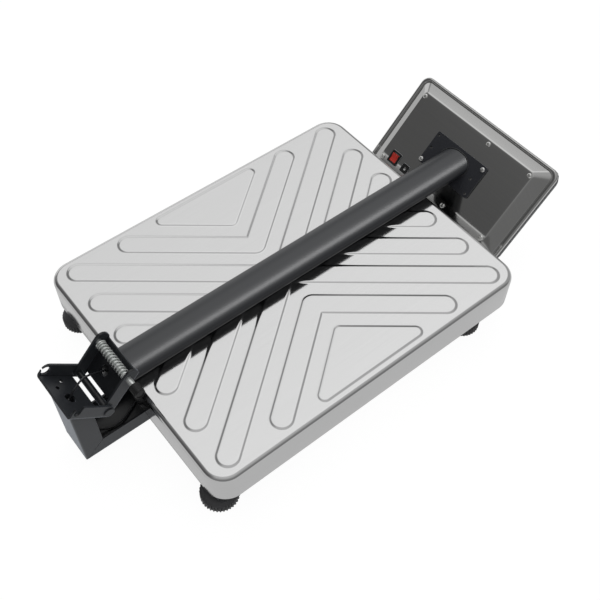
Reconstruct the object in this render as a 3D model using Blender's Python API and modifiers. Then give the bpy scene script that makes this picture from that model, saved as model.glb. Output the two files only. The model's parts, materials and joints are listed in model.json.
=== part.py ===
"""Folding electronic platform scale, shown folded: pan, base frame, feet, hinge with lock, column and head.

Metres, +Z up, +X from the hinge to the display head. All places are first given from the middle of the
platform on the floor; the last step moves the root empty to the middle of the whole object.
"""

import math

import bmesh
import bpy
from mathutils import Matrix, Vector

# Clearance between seated pieces, and the running clearance round a pin
GAP = 0.0003
RUN = 0.0003

# Platform pan, a pressed sheet with raised ribs
PLATFORM_LENGTH = 0.500
PLATFORM_WIDTH = 0.400
PLATFORM_TOP = 0.090
PAN_SKIRT = 0.0495
PAN_SHEET = 0.001
PAN_CORNER = 0.030
PAN_EDGE = 0.007
RIB_WIDTH = 0.0301
RIB_PITCH = 0.0494
RIB_HEIGHT = 0.002
RIB_DRAFT = 0.0015
RIB_MARGIN_X = 0.021
RIB_MARGIN_Y = 0.019
RIB_FIELD_CORNER = 0.012

# Base frame: a channel along X with the post at its end, and two rails along Y
ARM_BOTTOM = 0.0125
ARM_HEIGHT = 0.0255
ARM_WIDTH = 0.055
ARM_OFFSET = -0.006
ARM_SHEET = 0.0025
ARM_BEND = 0.0035
POST_REACH = 0.088
POST_FACE_X = -(PLATFORM_LENGTH / 2 + POST_REACH)
POST_DEPTH = 0.0276
RAIL_BOTTOM = 0.018
RAIL_HEIGHT = 0.020
RAIL_WIDTH = 0.040
RAIL_WALL = 0.002
RAIL_SHORT = 0.013
RAIL_SPAN = PLATFORM_WIDTH - RAIL_SHORT
RAIL_LEFT_INSET = 0.019
RAIL_RIGHT_INSET = 0.064
RAIL_LEFT_X = -(PLATFORM_LENGTH / 2 - RAIL_LEFT_INSET)
RAIL_RIGHT_X = PLATFORM_LENGTH / 2 - RAIL_RIGHT_INSET

# Screw feet
FOOT_INSET = 0.0255
FOOT_Y = RAIL_SPAN / 2 - FOOT_INSET
FOOT_RADIUS = 0.025
FOOT_KNURL_HEIGHT = 0.015
FOOT_SHOULDER_RADIUS = 0.020
FOOT_TEETH = 36
FOOT_TOOTH_DEPTH = 0.0011
FOOT_CHAMFER = 0.002
STUD_RADIUS = 0.005
STUD_SINK = 0.008
STUD_TOP_ROOM = 0.0010
NUT_ACROSS_FLATS = 0.017
NUT_HEIGHT = 0.008

# Load cell between the base and the frame under the pan
CELL_LENGTH = 0.150
CELL_WIDTH = 0.038
CELL_HEIGHT = 0.022
CELL_HOLE_RADIUS = 0.0075
CELL_HOLE_SPACING = 0.026
CELL_SLOT = 0.004
SEAT_LENGTH = 0.044
SEAT_THICKNESS = 0.004
SEAT_OVERHANG = 0.003
CELL_PAD_THICKNESS = 0.004
CELL_BOLT_RADIUS = 0.004
CELL_BOLT_HEAD_RADIUS = 0.0065
CELL_BOLT_HEAD_HEIGHT = 0.005
CELL_BOLT_SPACING = 0.020
CELL_BOLT_DEPTH = 0.012
SPIDER_THICKNESS = 0.010
SPIDER_ARM_WIDTH = 0.036
SPIDER_HUB_LENGTH = 0.170
SPIDER_HUB_WIDTH = 0.110
BUFFER_INSET = 0.055
BUFFER_X = PLATFORM_LENGTH / 2 - BUFFER_INSET
BUFFER_Y = PLATFORM_WIDTH / 2 - BUFFER_INSET
BUFFER_RADIUS = 0.012

# Hinge: pivot place, the folded angle of the leaves and the lower leaf, a folded sheet bracket
PIVOT_REACH = 0.0436
PIVOT_X = -(PLATFORM_LENGTH / 2 + PIVOT_REACH)
PIVOT_Z = 0.0948
LEAF_ANGLE = math.radians(45)
LEAF_SHEET = 0.003
LEAF_BEND = 0.004
LOWER_OUTER_WIDTH = 0.077
LOWER_LENGTH = 0.056
LOWER_DROP = 0.0105
LOWER_RISE = 0.0089
LOWER_FLANGE_REACH = 0.0076
LOWER_PLATE_STOP = 0.005
LOWER_TOP_CORNER = 0.009
LOWER_HOLE_AT = 0.033
LOWER_HOLE_Y = -0.004
CABLE_HOLE_RADIUS = 0.0075
TAP_HOLE_RADIUS = 0.003
TAP_HOLES = ((-0.028, 0.0256), (-0.041, 0.0136))

# Upper leaf, carried by the same pivot between the flanges of the lower one
LEAF_SIDE_GAP = 0.0004
UPPER_DROP = 0.0132
UPPER_RISE = 0.0072
UPPER_LENGTH = 0.064
UPPER_PLATE_START = 0.003
UPPER_PLATE_END = 0.058
UPPER_TOP_CORNER = 0.0095
UPPER_HOLE_AT = 0.024
UPPER_HOLE_Y = 0.009

# Pivot pin, its head, clip and sleeve
PIN_RADIUS = 0.0035
PIN_HEAD_RADIUS = 0.007
PIN_HEAD_HEIGHT = 0.0015
PIN_END = 0.003
CLIP_RADIUS = 0.0065
CLIP_THICKNESS = 0.0012
SLEEVE_RADIUS = 0.0046

# Lock rod: it drops into the hook slot of the near flange, and its tip enters the far flange
LOCK_RADIUS = 0.050
ROD_RADIUS = 0.004
ROD_TIP_CHAMFER = 0.001
HOOK_CLEARANCE = 0.0005
FAR_HOLE_RADIUS = 0.006
LOCK_THROW = 0.0044
HOOK_MOUTH_ANGLE = math.radians(62)
KNOB_START = 0.047
KNOB_LENGTH = 0.015
KNOB_RADIUS = 0.0070
KNOB_BORE_DEPTH = 0.010
KNOB_CHAMFER = 0.0012
WASHER_RADIUS = 0.0070
WASHER_THICKNESS = 0.0015
SPRING_WIRE_RADIUS = 0.0010
SPRING_MEAN_RADIUS = 0.0054
SPRING_TURNS = 11

# Column tube, mitred at both ends
COLUMN_WIDTH = 0.050
COLUMN_HEIGHT = 0.025
COLUMN_CORNER = 0.009
COLUMN_WALL = 0.002
COLUMN_CLEAR = 0.0025

# Display head; places on it are from the middle of its flat back, X up its face, Z out of the back
HEAD_REACH = 0.0644
HEAD_X = PLATFORM_LENGTH / 2 + HEAD_REACH
HEAD_Z = 0.0994
HEAD_FLAT_LENGTH = 0.220
HEAD_FLAT_HEIGHT = 0.122
HEAD_RIM_LENGTH = 0.270
HEAD_RIM_HEIGHT = 0.1595
HEAD_RIM_SHIFT = 0.00075
HEAD_BACK_DEPTH = 0.018
HEAD_LIP = 0.002
HEAD_SHEET = 0.0012
HEAD_FLAT_CORNER = 0.007
HEAD_RIM_CORNER = 0.013
FRONT_DEPTH = 0.018
FRONT_TAPER = 0.004
FRONT_WALL = 0.0025
PLATE_LENGTH = 0.100
PLATE_HEIGHT = 0.053
PLATE_THICKNESS = 0.003
PLATE_AT = 0.001
PLATE_CORNER = 0.003
PLATE_HOLE_RADIUS = 0.0022
PLATE_HOLES = ((0.022, 0.046), (0.0014, 0.0446), (0.0183, 0.0053), (-0.0205, -0.0441), (0.0008, -0.0371))
WINDOW_LENGTH = 0.124
WINDOW_HEIGHT = 0.044
WINDOW_AT = 0.034
WINDOW_THICKNESS = 0.002
WINDOW_LAP = 0.004
MODULE_DEPTH = 0.008
KEYPAD_LENGTH = 0.140
KEYPAD_HEIGHT = 0.052
KEYPAD_AT = -0.034
KEYPAD_THICKNESS = 0.001
KEYPAD_RECESS = 0.0012
BOARD_LENGTH = 0.180
BOARD_HEIGHT = 0.070
BOARD_AT = 0.024
BOARD_THICKNESS = 0.0016
BATTERY_LENGTH = 0.070
BATTERY_HEIGHT = 0.034
BATTERY_DEPTH = 0.018
BATTERY_AT = (-0.038, -0.030)

# Rocker switch and power socket in the flat back
SWITCH_AT = (-0.0453, 0.086)
SWITCH_LENGTH = 0.019
SWITCH_WIDTH = 0.018
SWITCH_FLANGE = 0.0022
SWITCH_BODY_DEPTH = 0.009
SWITCH_WELL_LENGTH = 0.0148
SWITCH_WELL_WIDTH = 0.0124
SWITCH_WELL_DEPTH = 0.0085
SWITCH_PIVOT_DEPTH = 0.0010
SWITCH_BODY_MARGIN = 0.0012
ROCKER_RADIUS = 0.0064
ROCKER_RISE = 0.0040
ROCKER_DIP = 0.0024
ROCKER_TILT = math.radians(10)
SOCKET_AT = (-0.0483, 0.061)
SOCKET_SIZE = 0.0125
SOCKET_FLANGE = 0.0015
SOCKET_DEPTH = 0.011
SOCKET_BORE_RADIUS = 0.0031
SOCKET_BORE_DEPTH = 0.009
SOCKET_PIN_RADIUS = 0.0010
SOCKET_BODY_MARGIN = 0.0015

# Signal cable from the load cell to the board in the head
CABLE_RADIUS = 0.0022
CABLE_STEP = 0.0135
CABLE_SLACK = 0.0012
HEAD_HOLE_CLEARANCE = 0.0005

ROUND = 28
SMALL_ROUND = 20
ARC_STEP = math.radians(22.5)
ARC_TOLERANCE = 0.001
HALF_WIDTH = LOWER_OUTER_WIDTH / 2
INNER_FACE = HALF_WIDTH - LEAF_SHEET
EAR_FACE = INNER_FACE - LEAF_SIDE_GAP
EAR_INNER = EAR_FACE - LEAF_SHEET
ARM_TOP = ARM_BOTTOM + ARM_HEIGHT
ARM_END_X = RAIL_RIGHT_X + RAIL_WIDTH / 2
COLUMN_Z = PLATFORM_TOP + COLUMN_CLEAR + COLUMN_HEIGHT / 2
SEAT_X = -(CELL_LENGTH - SEAT_LENGTH) / 2
CELL_BOTTOM = ARM_TOP + GAP + SEAT_THICKNESS + GAP
CELL_TOP = CELL_BOTTOM + CELL_HEIGHT
SPIDER_BOTTOM = CELL_TOP + GAP + CELL_PAD_THICKNESS + GAP
SPIDER_TOP = SPIDER_BOTTOM + SPIDER_THICKNESS
SWITCH_PIVOT = -SWITCH_PIVOT_DEPTH
HEAD_FRONT = -(HEAD_BACK_DEPTH + HEAD_LIP + GAP + FRONT_DEPTH)

COLOURS = {
    "pan_steel": ((0.62, 0.62, 0.63), 0.28, 1.0),
    "black_paint": ((0.022, 0.023, 0.026), 0.35, 0.0),
    "grey_paint": ((0.060, 0.063, 0.068), 0.45, 0.3),
    "back_steel": ((0.30, 0.30, 0.30), 0.30, 1.0),
    "zinc": ((0.70, 0.71, 0.69), 0.30, 1.0),
    "cell_aluminium": ((0.55, 0.56, 0.57), 0.40, 1.0),
    "rubber": ((0.012, 0.012, 0.012), 0.80, 0.0),
    "black_plastic": ((0.015, 0.015, 0.016), 0.50, 0.0),
    "housing_plastic": ((0.060, 0.062, 0.066), 0.55, 0.0),
    "window": ((0.05, 0.02, 0.02), 0.10, 0.0),
    "keypad_film": ((0.16, 0.20, 0.28), 0.45, 0.0),
    "board_green": ((0.020, 0.110, 0.045), 0.50, 0.0),
    "rocker_red": ((0.620, 0.030, 0.022), 0.35, 0.0),
    "cable_grey": ((0.055, 0.055, 0.058), 0.50, 0.0),
}


# Scene, collections and materials

def clear_scene():
    for obj in list(bpy.data.objects):
        bpy.data.objects.remove(obj, do_unlink=True)


def new_collection(name):
    collection = bpy.data.collections.new(name)
    bpy.context.scene.collection.children.link(collection)
    return collection


def new_material(name, finish):
    colour, roughness, metallic = COLOURS[finish]
    material = bpy.data.materials.new(name)
    material.use_nodes = True
    shader = material.node_tree.nodes["Principled BSDF"]
    shader.inputs["Base Color"].default_value = (*colour, 1.0)
    shader.inputs["Roughness"].default_value = roughness
    shader.inputs["Metallic"].default_value = metallic
    material.diffuse_color = (*colour, 1.0)
    return material


def new_empty(name, location, parent, rotation=(0.0, 0.0, 0.0)):
    empty = bpy.data.objects.new(name, None)
    empty.empty_display_size = 0.02
    empty.location = location
    empty.rotation_euler = rotation
    empty.parent = parent
    PARTS.objects.link(empty)
    return empty


def add_part(name, mesh, finish, parent):
    obj = bpy.data.objects.new(name, mesh)
    obj.parent = parent
    mesh.materials.clear()
    mesh.materials.append(new_material(name, finish))
    PARTS.objects.link(obj)
    return obj


def add_guide(name, mesh, parent):
    obj = bpy.data.objects.new(name, mesh)
    obj.parent = parent
    obj.display_type = "WIRE"
    obj.hide_render = True
    GUIDES.objects.link(obj)
    return obj


# Meshes of simple forms

def mesh_from(bm, name):
    bmesh.ops.recalc_face_normals(bm, faces=bm.faces)
    mesh = bpy.data.meshes.new(name)
    bm.to_mesh(mesh)
    bm.free()
    return mesh


def box_mesh(name, low, high):
    size = Vector(high) - Vector(low)
    centre = (Vector(high) + Vector(low)) / 2
    bm = bmesh.new()
    bmesh.ops.create_cube(bm, size=1.0, matrix=Matrix.Translation(centre) @ Matrix.Diagonal((*size, 1.0)))
    return mesh_from(bm, name)


def cylinder_mesh(name, radius, start, end, segments=SMALL_ROUND):
    start = Vector(start)
    end = Vector(end)
    turn = (end - start).to_track_quat("Z", "Y").to_matrix().to_4x4()
    bm = bmesh.new()
    bmesh.ops.create_cone(
        bm,
        cap_ends=True,
        segments=segments,
        radius1=radius,
        radius2=radius,
        depth=(end - start).length,
        matrix=Matrix.Translation((start + end) / 2) @ turn,
    )
    return mesh_from(bm, name)


def arc(centre, radius, start, end, step=ARC_STEP):
    count = max(1, math.ceil(abs(end - start) / step - ARC_TOLERANCE))
    angles = [start + (end - start) * i / count for i in range(count + 1)]
    return [(centre[0] + radius * math.cos(a), centre[1] + radius * math.sin(a)) for a in angles]


def rounded_outline(corners):
    """Outline through corners (x, y, radius), each rounded by its own radius."""
    outline = []
    count = len(corners)
    for i, (x, y, radius) in enumerate(corners):
        here = Vector((x, y))
        before = (Vector(corners[i - 1][:2]) - here).normalized()
        after = (Vector(corners[(i + 1) % count][:2]) - here).normalized()
        if radius <= 0.0:
            outline.append((x, y))
            continue
        half = before.angle(after) / 2
        centre = here + (before + after).normalized() * radius / math.sin(half)
        first = here + before * radius / math.tan(half) - centre
        last = here + after * radius / math.tan(half) - centre
        start = math.atan2(first.y, first.x)
        turn = math.remainder(math.atan2(last.y, last.x) - start, math.tau)
        outline += arc(centre, radius, start, start + turn)
    return outline


def rectangle(x0, y0, x1, y1, radius=0.0):
    return rounded_outline([(x0, y0, radius), (x1, y0, radius), (x1, y1, radius), (x0, y1, radius)])


PLANES = {
    "XY": Matrix.Identity(4),
    "XZ": Matrix.Rotation(math.pi / 2, 4, "X"),
    "YZ": Matrix(((0, 0, 1, 0), (1, 0, 0, 0), (0, 1, 0, 0), (0, 0, 0, 1))),
}


def prism_mesh(name, outline, low, high, plane="XY", draft=0.0):
    """Flat outline thickened between low and high across its plane; a draft chamfers both of its rims."""
    curve = bpy.data.curves.new(name, "CURVE")
    curve.dimensions = "2D"
    curve.fill_mode = "BOTH"
    curve.extrude = (high - low) / 2 - draft
    curve.bevel_depth = draft
    curve.bevel_resolution = 0
    curve.offset = -draft
    spline = curve.splines.new("POLY")
    spline.points.add(len(outline) - 1)
    for point, (x, y) in zip(spline.points, outline):
        point.co = (x, y, 0.0, 1.0)
    spline.use_cyclic_u = True
    sketch = bpy.data.objects.new(name, curve)
    GUIDES.objects.link(sketch)
    mesh = bpy.data.meshes.new_from_object(sketch.evaluated_get(bpy.context.evaluated_depsgraph_get()))
    bpy.data.objects.remove(sketch, do_unlink=True)
    shift = (high + low) / 2
    if plane == "XZ":
        shift = -shift
    mesh.transform(PLANES[plane] @ Matrix.Translation((0.0, 0.0, shift)))
    bm = bmesh.new()
    bm.from_mesh(mesh)
    bmesh.ops.remove_doubles(bm, verts=bm.verts, dist=0.00001)
    bpy.data.meshes.remove(mesh)
    return mesh_from(bm, name)


def loft_mesh(name, loops, close_first):
    """Skin through loops of as many points each, one after another, with a face over the first one."""
    bm = bmesh.new()
    rings = [[bm.verts.new(point) for point in loop] for loop in loops]
    if close_first:
        bm.faces.new(rings[0])
    for upper, lower in zip(rings, rings[1:]):
        for i in range(len(upper)):
            bm.faces.new((upper[i - 1], upper[i], lower[i], lower[i - 1]))
    return mesh_from(bm, name)


def add_turned(name, profile, finish, parent, location, axis="Z", segments=ROUND):
    """Turned piece from (radius, height) points that run from the top down the outer side."""
    bm = bmesh.new()
    points = [bm.verts.new((radius, 0.0, height)) for radius, height in profile]
    for upper, lower in zip(points, points[1:]):
        bm.edges.new((upper, lower))
    mesh = bpy.data.meshes.new(name)
    bm.to_mesh(mesh)
    bm.free()
    obj = add_part(name, mesh, finish, parent)
    obj.location = location
    if axis == "Y":
        obj.rotation_euler = (-math.pi / 2, 0.0, 0.0)
    screw = obj.modifiers.new("Turn", "SCREW")
    screw.steps = segments
    screw.render_steps = segments
    screw.use_merge_vertices = True
    screw.merge_threshold = 0.00001
    screw.use_smooth_shade = True
    return obj


def add_tube(name, points, radius, finish, parent, resolution=2):
    curve = bpy.data.curves.new(name, "CURVE")
    curve.dimensions = "3D"
    curve.bevel_depth = radius
    curve.bevel_resolution = resolution
    curve.use_fill_caps = True
    spline = curve.splines.new("POLY")
    spline.points.add(len(points) - 1)
    for point, place in zip(spline.points, points):
        point.co = (*place, 1.0)
    obj = bpy.data.objects.new(name, curve)
    obj.parent = parent
    curve.materials.append(new_material(name, finish))
    PARTS.objects.link(obj)
    return obj


# Operations on parts

def combine(target, operand, operation):
    boolean = target.modifiers.new(operand.name, "BOOLEAN")
    boolean.operation = operation
    boolean.object = operand
    boolean.solver = "EXACT"


def cut(target, mesh):
    combine(target, add_guide("cut_" + mesh.name, mesh, target.parent), "DIFFERENCE")


def trim(target, mesh):
    combine(target, add_guide("trim_" + mesh.name, mesh, target.parent), "INTERSECT")


def join(target, mesh):
    combine(target, add_guide("join_" + mesh.name, mesh, target.parent), "UNION")


def thicken(obj, thickness):
    solidify = obj.modifiers.new("Sheet", "SOLIDIFY")
    solidify.thickness = thickness
    solidify.offset = -1.0
    solidify.use_even_offset = True


def smooth(mesh, angle=math.radians(35)):
    mesh.shade_smooth()
    mesh.set_sharp_from_angle(angle=angle)


def channel_outline(width, low, high, sheet, bend):
    """Section of a sheet folded to a U that opens upwards, with its outer bends rounded."""
    half = width / 2
    inner_bend = max(bend - sheet, 0.0)
    return rounded_outline([
        (-half, high, 0.0),
        (-half, low, bend),
        (half, low, bend),
        (half, high, 0.0),
        (half - sheet, high, 0.0),
        (half - sheet, low + sheet, inner_bend),
        (-half + sheet, low + sheet, inner_bend),
        (-half + sheet, high, 0.0),
    ])


# Platform pan

def rib_end(start, direction):
    """Where a rib that starts at start stops, so that its round end keeps the margins."""
    limits = (PLATFORM_LENGTH / 2 - RIB_MARGIN_X, PLATFORM_WIDTH / 2 - RIB_MARGIN_Y)
    reaches = [
        (limit - place * math.copysign(1, way)) / abs(way)
        for limit, place, way in zip(limits, start, direction)
    ]
    return start + direction * (min(reaches) - RIB_WIDTH / 2)


def rib_outline(start, end):
    along = end - start
    angle = math.atan2(along.y, along.x)
    far = arc(end, RIB_WIDTH / 2, angle - math.pi / 2, angle + math.pi / 2)
    near = arc(start, RIB_WIDTH / 2, angle + math.pi / 2, angle + 1.5 * math.pi)
    return far + near


def rib_outlines():
    """Diagonal ribs that cross in the middle, chevrons round them and a field by each long side."""
    slope = PLATFORM_WIDTH / PLATFORM_LENGTH
    stretch = math.hypot(1.0, slope)
    outlines = []
    for side in (1, -1):
        diagonal = Vector((1.0, side * slope)).normalized()
        middle = Vector((0.0, 0.0))
        outlines.append(rib_outline(rib_end(middle, -diagonal), rib_end(middle, diagonal)))
    for end in (1, -1):
        starts = [(Vector((0.0, end * RIB_PITCH * stretch)), "long")]
        for row in (1, 2):
            starts.append((Vector((end * row * RIB_PITCH * stretch / slope, 0.0)), "short"))
        for start, towards in starts:
            for side in (1, -1):
                signs = (side, end) if towards == "long" else (end, side)
                direction = Vector((signs[0], signs[1] * slope)).normalized()
                outlines.append(rib_outline(start, rib_end(start, direction)))
        apex = (2 * RIB_PITCH - RIB_WIDTH / 2) * stretch
        base = PLATFORM_WIDTH / 2 - RIB_MARGIN_Y
        half_base = (base - apex) / slope
        outlines.append(rounded_outline([
            (0.0, end * apex, RIB_FIELD_CORNER),
            (half_base, end * base, RIB_FIELD_CORNER),
            (-half_base, end * base, RIB_FIELD_CORNER),
        ]))
    return outlines


def build_pan():
    inset = PAN_EDGE
    loops = []
    for i in range(4):
        turn = math.pi / 2 * i / 3
        pull = inset * (1 - math.sin(turn))
        drop = inset * (1 - math.cos(turn))
        loops.append((pull, PLATFORM_TOP - drop))
    loops.append((0.0, PLATFORM_TOP - PAN_SKIRT))
    rings = []
    for pull, height in loops:
        half_x = PLATFORM_LENGTH / 2 - pull
        half_y = PLATFORM_WIDTH / 2 - pull
        ring = rectangle(-half_x, -half_y, half_x, half_y, PAN_CORNER - pull)
        rings.append([(x, y, height) for x, y in ring])
    pan = add_part("platform_pan", loft_mesh("platform_pan", rings, True), "pan_steel", ROOT)
    thicken(pan, PAN_SHEET)
    for i, outline in enumerate(rib_outlines()):
        low = PLATFORM_TOP - PAN_SHEET / 2 - RIB_HEIGHT
        rib = prism_mesh(f"rib_{i + 1}", outline, low, PLATFORM_TOP + RIB_HEIGHT, draft=RIB_DRAFT)
        join(pan, trimmed_rib(rib))
    return pan


def trimmed_rib(mesh):
    """The rib above mid-sheet, so that nothing of it shows below the pan."""
    bm = bmesh.new()
    bm.from_mesh(mesh)
    name = mesh.name
    bpy.data.meshes.remove(mesh)
    everything = bm.verts[:] + bm.edges[:] + bm.faces[:]
    level = (0.0, 0.0, PLATFORM_TOP - PAN_SHEET / 2)
    done = bmesh.ops.bisect_plane(bm, geom=everything, plane_co=level, plane_no=(0, 0, 1), clear_inner=True)
    rim = [item for item in done["geom_cut"] if isinstance(item, bmesh.types.BMEdge)]
    bmesh.ops.contextual_create(bm, geom=rim)
    return mesh_from(bm, name)


# Base frame and feet

def build_arm():
    outline = channel_outline(ARM_WIDTH, ARM_BOTTOM, ARM_TOP, ARM_SHEET, ARM_BEND)
    section = [(y + ARM_OFFSET, z) for y, z in outline]
    blank = prism_mesh("base_arm", section, POST_FACE_X, ARM_END_X, "YZ")
    arm = add_part("base_arm", blank, "black_paint", ROOT)
    mitre = [
        (POST_FACE_X, ARM_BOTTOM),
        (ARM_END_X + GAP, ARM_BOTTOM - GAP),
        (ARM_END_X + GAP, ARM_TOP + GAP),
        (POST_FACE_X + POST_DEPTH, ARM_TOP),
        (POST_FACE_X + POST_DEPTH - GAP, ARM_TOP),
        (POST_FACE_X - GAP, ARM_BOTTOM),
    ]
    trim(arm, prism_mesh("arm_mitre", mitre, -ARM_WIDTH, ARM_WIDTH, "XZ"))
    return arm


def leaf_plane_z(x):
    """Height of the lower leaf's outer face at a place: the leaf rises towards -X at its fold angle."""
    normal = Vector((math.sin(LEAF_ANGLE), math.cos(LEAF_ANGLE)))
    reach = normal.dot(Vector((PIVOT_X, PIVOT_Z))) - LOWER_DROP
    return (reach - normal.x * x) / normal.y


def build_post():
    face = POST_FACE_X
    open_side = POST_FACE_X + POST_DEPTH
    top = leaf_plane_z(face) + GAP
    outline = channel_outline(ARM_WIDTH, face, open_side, ARM_SHEET, ARM_BEND)
    section = [(x, y + ARM_OFFSET) for y, x in outline]
    blank = prism_mesh("base_post", section, ARM_BOTTOM, top, "XY")
    post = add_part("base_post", blank, "black_paint", ROOT)
    seam = 2 * GAP
    mitre = [
        (face - GAP, ARM_BOTTOM + seam),
        (face, ARM_BOTTOM + seam),
        (open_side, ARM_TOP + seam),
        (open_side + GAP, ARM_TOP + seam),
        (open_side + GAP, leaf_plane_z(open_side + GAP) - seam),
        (face - GAP, leaf_plane_z(face - GAP) - seam),
    ]
    trim(post, prism_mesh("post_mitre", mitre, -ARM_WIDTH, ARM_WIDTH, "XZ"))
    return post


def build_rail(name, x, side):
    """Tube from the side of the arm to the edge of the platform; side is its way along Y."""
    half = RAIL_WIDTH / 2
    top = RAIL_BOTTOM + RAIL_HEIGHT
    wall = RAIL_WALL
    outer = rectangle(x - half, RAIL_BOTTOM, x + half, top, 2 * wall)
    inner = rectangle(x - half + wall, RAIL_BOTTOM + wall, x + half - wall, top - wall, wall)
    low, high = sorted((ARM_OFFSET + side * (ARM_WIDTH / 2 + GAP), side * RAIL_SPAN / 2))
    rail = add_part(name, prism_mesh(name, outer, low, high, "XZ"), "black_paint", ROOT)
    cut(rail, prism_mesh("bore_" + name, inner, low - wall, high + wall, "XZ"))
    bottom = (x, side * FOOT_Y, 0.0)
    above = (x, side * FOOT_Y, RAIL_BOTTOM + 2 * wall)
    cut(rail, cylinder_mesh("drill_" + name, STUD_RADIUS + RUN, bottom, above))
    return rail


def toothed_outline(radius, depth, teeth):
    outline = []
    for i in range(2 * teeth):
        reach = radius if i % 2 else radius - depth
        angle = math.pi * i / teeth
        outline.append((reach * math.cos(angle), reach * math.sin(angle)))
    return outline


def build_foot(name, x, y):
    """Rubber foot on a threaded stud; the nut it turns in sits on the floor of the rail."""
    slide = new_empty(name + "_slide", (x, y, 0.0), ROOT)
    top = RAIL_BOTTOM - GAP
    ring = FOOT_KNURL_HEIGHT
    shoulder = FOOT_RADIUS - FOOT_TOOTH_DEPTH - FOOT_CHAMFER
    profile = [
        (0.0, top),
        (FOOT_SHOULDER_RADIUS, top),
        (shoulder, ring - FOOT_CHAMFER),
        (shoulder, FOOT_CHAMFER),
        (shoulder - FOOT_CHAMFER, 0.0),
        (0.0, 0.0),
    ]
    pad = add_turned("foot_pad_" + name, profile, "rubber", slide, (0, 0, 0))
    knurl = toothed_outline(FOOT_RADIUS, FOOT_TOOTH_DEPTH, FOOT_TEETH)
    join(pad, prism_mesh("knurl_" + name, knurl, FOOT_CHAMFER / 2, ring))
    floor = top - STUD_SINK
    cut(pad, cylinder_mesh("socket_" + name, STUD_RADIUS + GAP, (0, 0, floor), (0, 0, top + STUD_SINK)))
    stud_top = RAIL_BOTTOM + RAIL_HEIGHT - RAIL_WALL - STUD_TOP_ROOM
    stud = cylinder_mesh("foot_stud_" + name, STUD_RADIUS, (0, 0, floor + GAP), (0, 0, stud_top))
    smooth(stud)
    add_part("foot_stud_" + name, stud, "zinc", slide)
    low = RAIL_BOTTOM + RAIL_WALL + GAP
    corner = NUT_ACROSS_FLATS / 2 / math.cos(math.pi / 6)
    nut_mesh = cylinder_mesh("weld_nut_" + name, corner, (x, y, low), (x, y, low + NUT_HEIGHT), 6)
    nut = add_part("weld_nut_" + name, nut_mesh, "zinc", ROOT)
    above = (x, y, low + 2 * NUT_HEIGHT)
    cut(nut, cylinder_mesh("thread_" + name, STUD_RADIUS + RUN, (x, y, low - GAP), above))


# Load cell and the frame that carries the pan

def build_cell():
    half_seat = SEAT_LENGTH / 2
    reach = CELL_WIDTH / 2 + SEAT_OVERHANG
    low_y = min(ARM_OFFSET - ARM_WIDTH / 2, -reach)
    high_y = max(ARM_OFFSET + ARM_WIDTH / 2, reach)
    seat_low = ARM_TOP + GAP
    seat_mesh = box_mesh(
        "cell_seat",
        (SEAT_X - half_seat, low_y, seat_low),
        (SEAT_X + half_seat, high_y, seat_low + SEAT_THICKNESS),
    )
    seat = add_part("cell_seat", seat_mesh, "black_paint", ROOT)
    half = Vector((CELL_LENGTH / 2, CELL_WIDTH / 2, 0.0))
    cell_mesh = box_mesh("load_cell", (-half.x, -half.y, CELL_BOTTOM), (half.x, half.y, CELL_TOP))
    cell = add_part("load_cell", cell_mesh, "cell_aluminium", ROOT)
    middle = (CELL_BOTTOM + CELL_TOP) / 2
    offset = CELL_HOLE_SPACING / 2
    eyes = (
        arc((offset, middle), CELL_HOLE_RADIUS, -math.pi + eye_angle(), math.pi - eye_angle())
        + arc((-offset, middle), CELL_HOLE_RADIUS, eye_angle(), math.tau - eye_angle())
    )
    cut(cell, prism_mesh("cell_eyes", eyes, -CELL_WIDTH, CELL_WIDTH, "XZ"))
    pad_low = CELL_TOP + GAP
    pad_mesh = box_mesh(
        "cell_pad",
        (-SEAT_X - half_seat, -half.y, pad_low),
        (-SEAT_X + half_seat, half.y, pad_low + CELL_PAD_THICKNESS),
    )
    pad = add_part("cell_pad", pad_mesh, "black_paint", ROOT)
    spider = build_spider()
    drill = CELL_BOLT_RADIUS + RUN
    for i, side in enumerate((-1, 1)):
        x = SEAT_X + side * CELL_BOLT_SPACING / 2
        build_bolt(f"cell_bolt_lower_{i + 1}", x, seat_low - GAP, CELL_BOTTOM + CELL_BOLT_DEPTH, 1)
        bottom = CELL_BOTTOM + CELL_BOLT_DEPTH + GAP
        lower = cylinder_mesh(f"lower_drill_{i}", drill, (x, 0, ARM_TOP), (x, 0, bottom))
        cut(seat, lower)
        cut(cell, lower.copy())
        x = -SEAT_X + side * CELL_BOLT_SPACING / 2
        build_bolt(f"cell_bolt_upper_{i + 1}", x, SPIDER_TOP + GAP, CELL_TOP - CELL_BOLT_DEPTH, -1)
        bottom = CELL_TOP - CELL_BOLT_DEPTH - GAP
        upper = cylinder_mesh(f"upper_drill_{i}", drill, (x, 0, bottom), (x, 0, SPIDER_TOP + GAP))
        for piece in (cell, pad, spider):
            cut(piece, upper.copy())


def eye_angle():
    return math.asin(CELL_SLOT / 2 / CELL_HOLE_RADIUS)


def build_bolt(name, x, seat, tip, side):
    """Bolt whose head lies against seat and whose shank ends at tip; side is the way the shank points."""
    head = (seat - side * CELL_BOLT_HEAD_HEIGHT, seat)
    mesh = cylinder_mesh(name, CELL_BOLT_HEAD_RADIUS, (x, 0, min(head)), (x, 0, max(head)), 6)
    bolt = add_part(name, mesh, "zinc", ROOT)
    root = seat - side * CELL_BOLT_HEAD_HEIGHT / 2
    low, high = sorted((root, tip))
    join(bolt, cylinder_mesh("shank_" + name, CELL_BOLT_RADIUS, (x, 0, low), (x, 0, high), 12))


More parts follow.
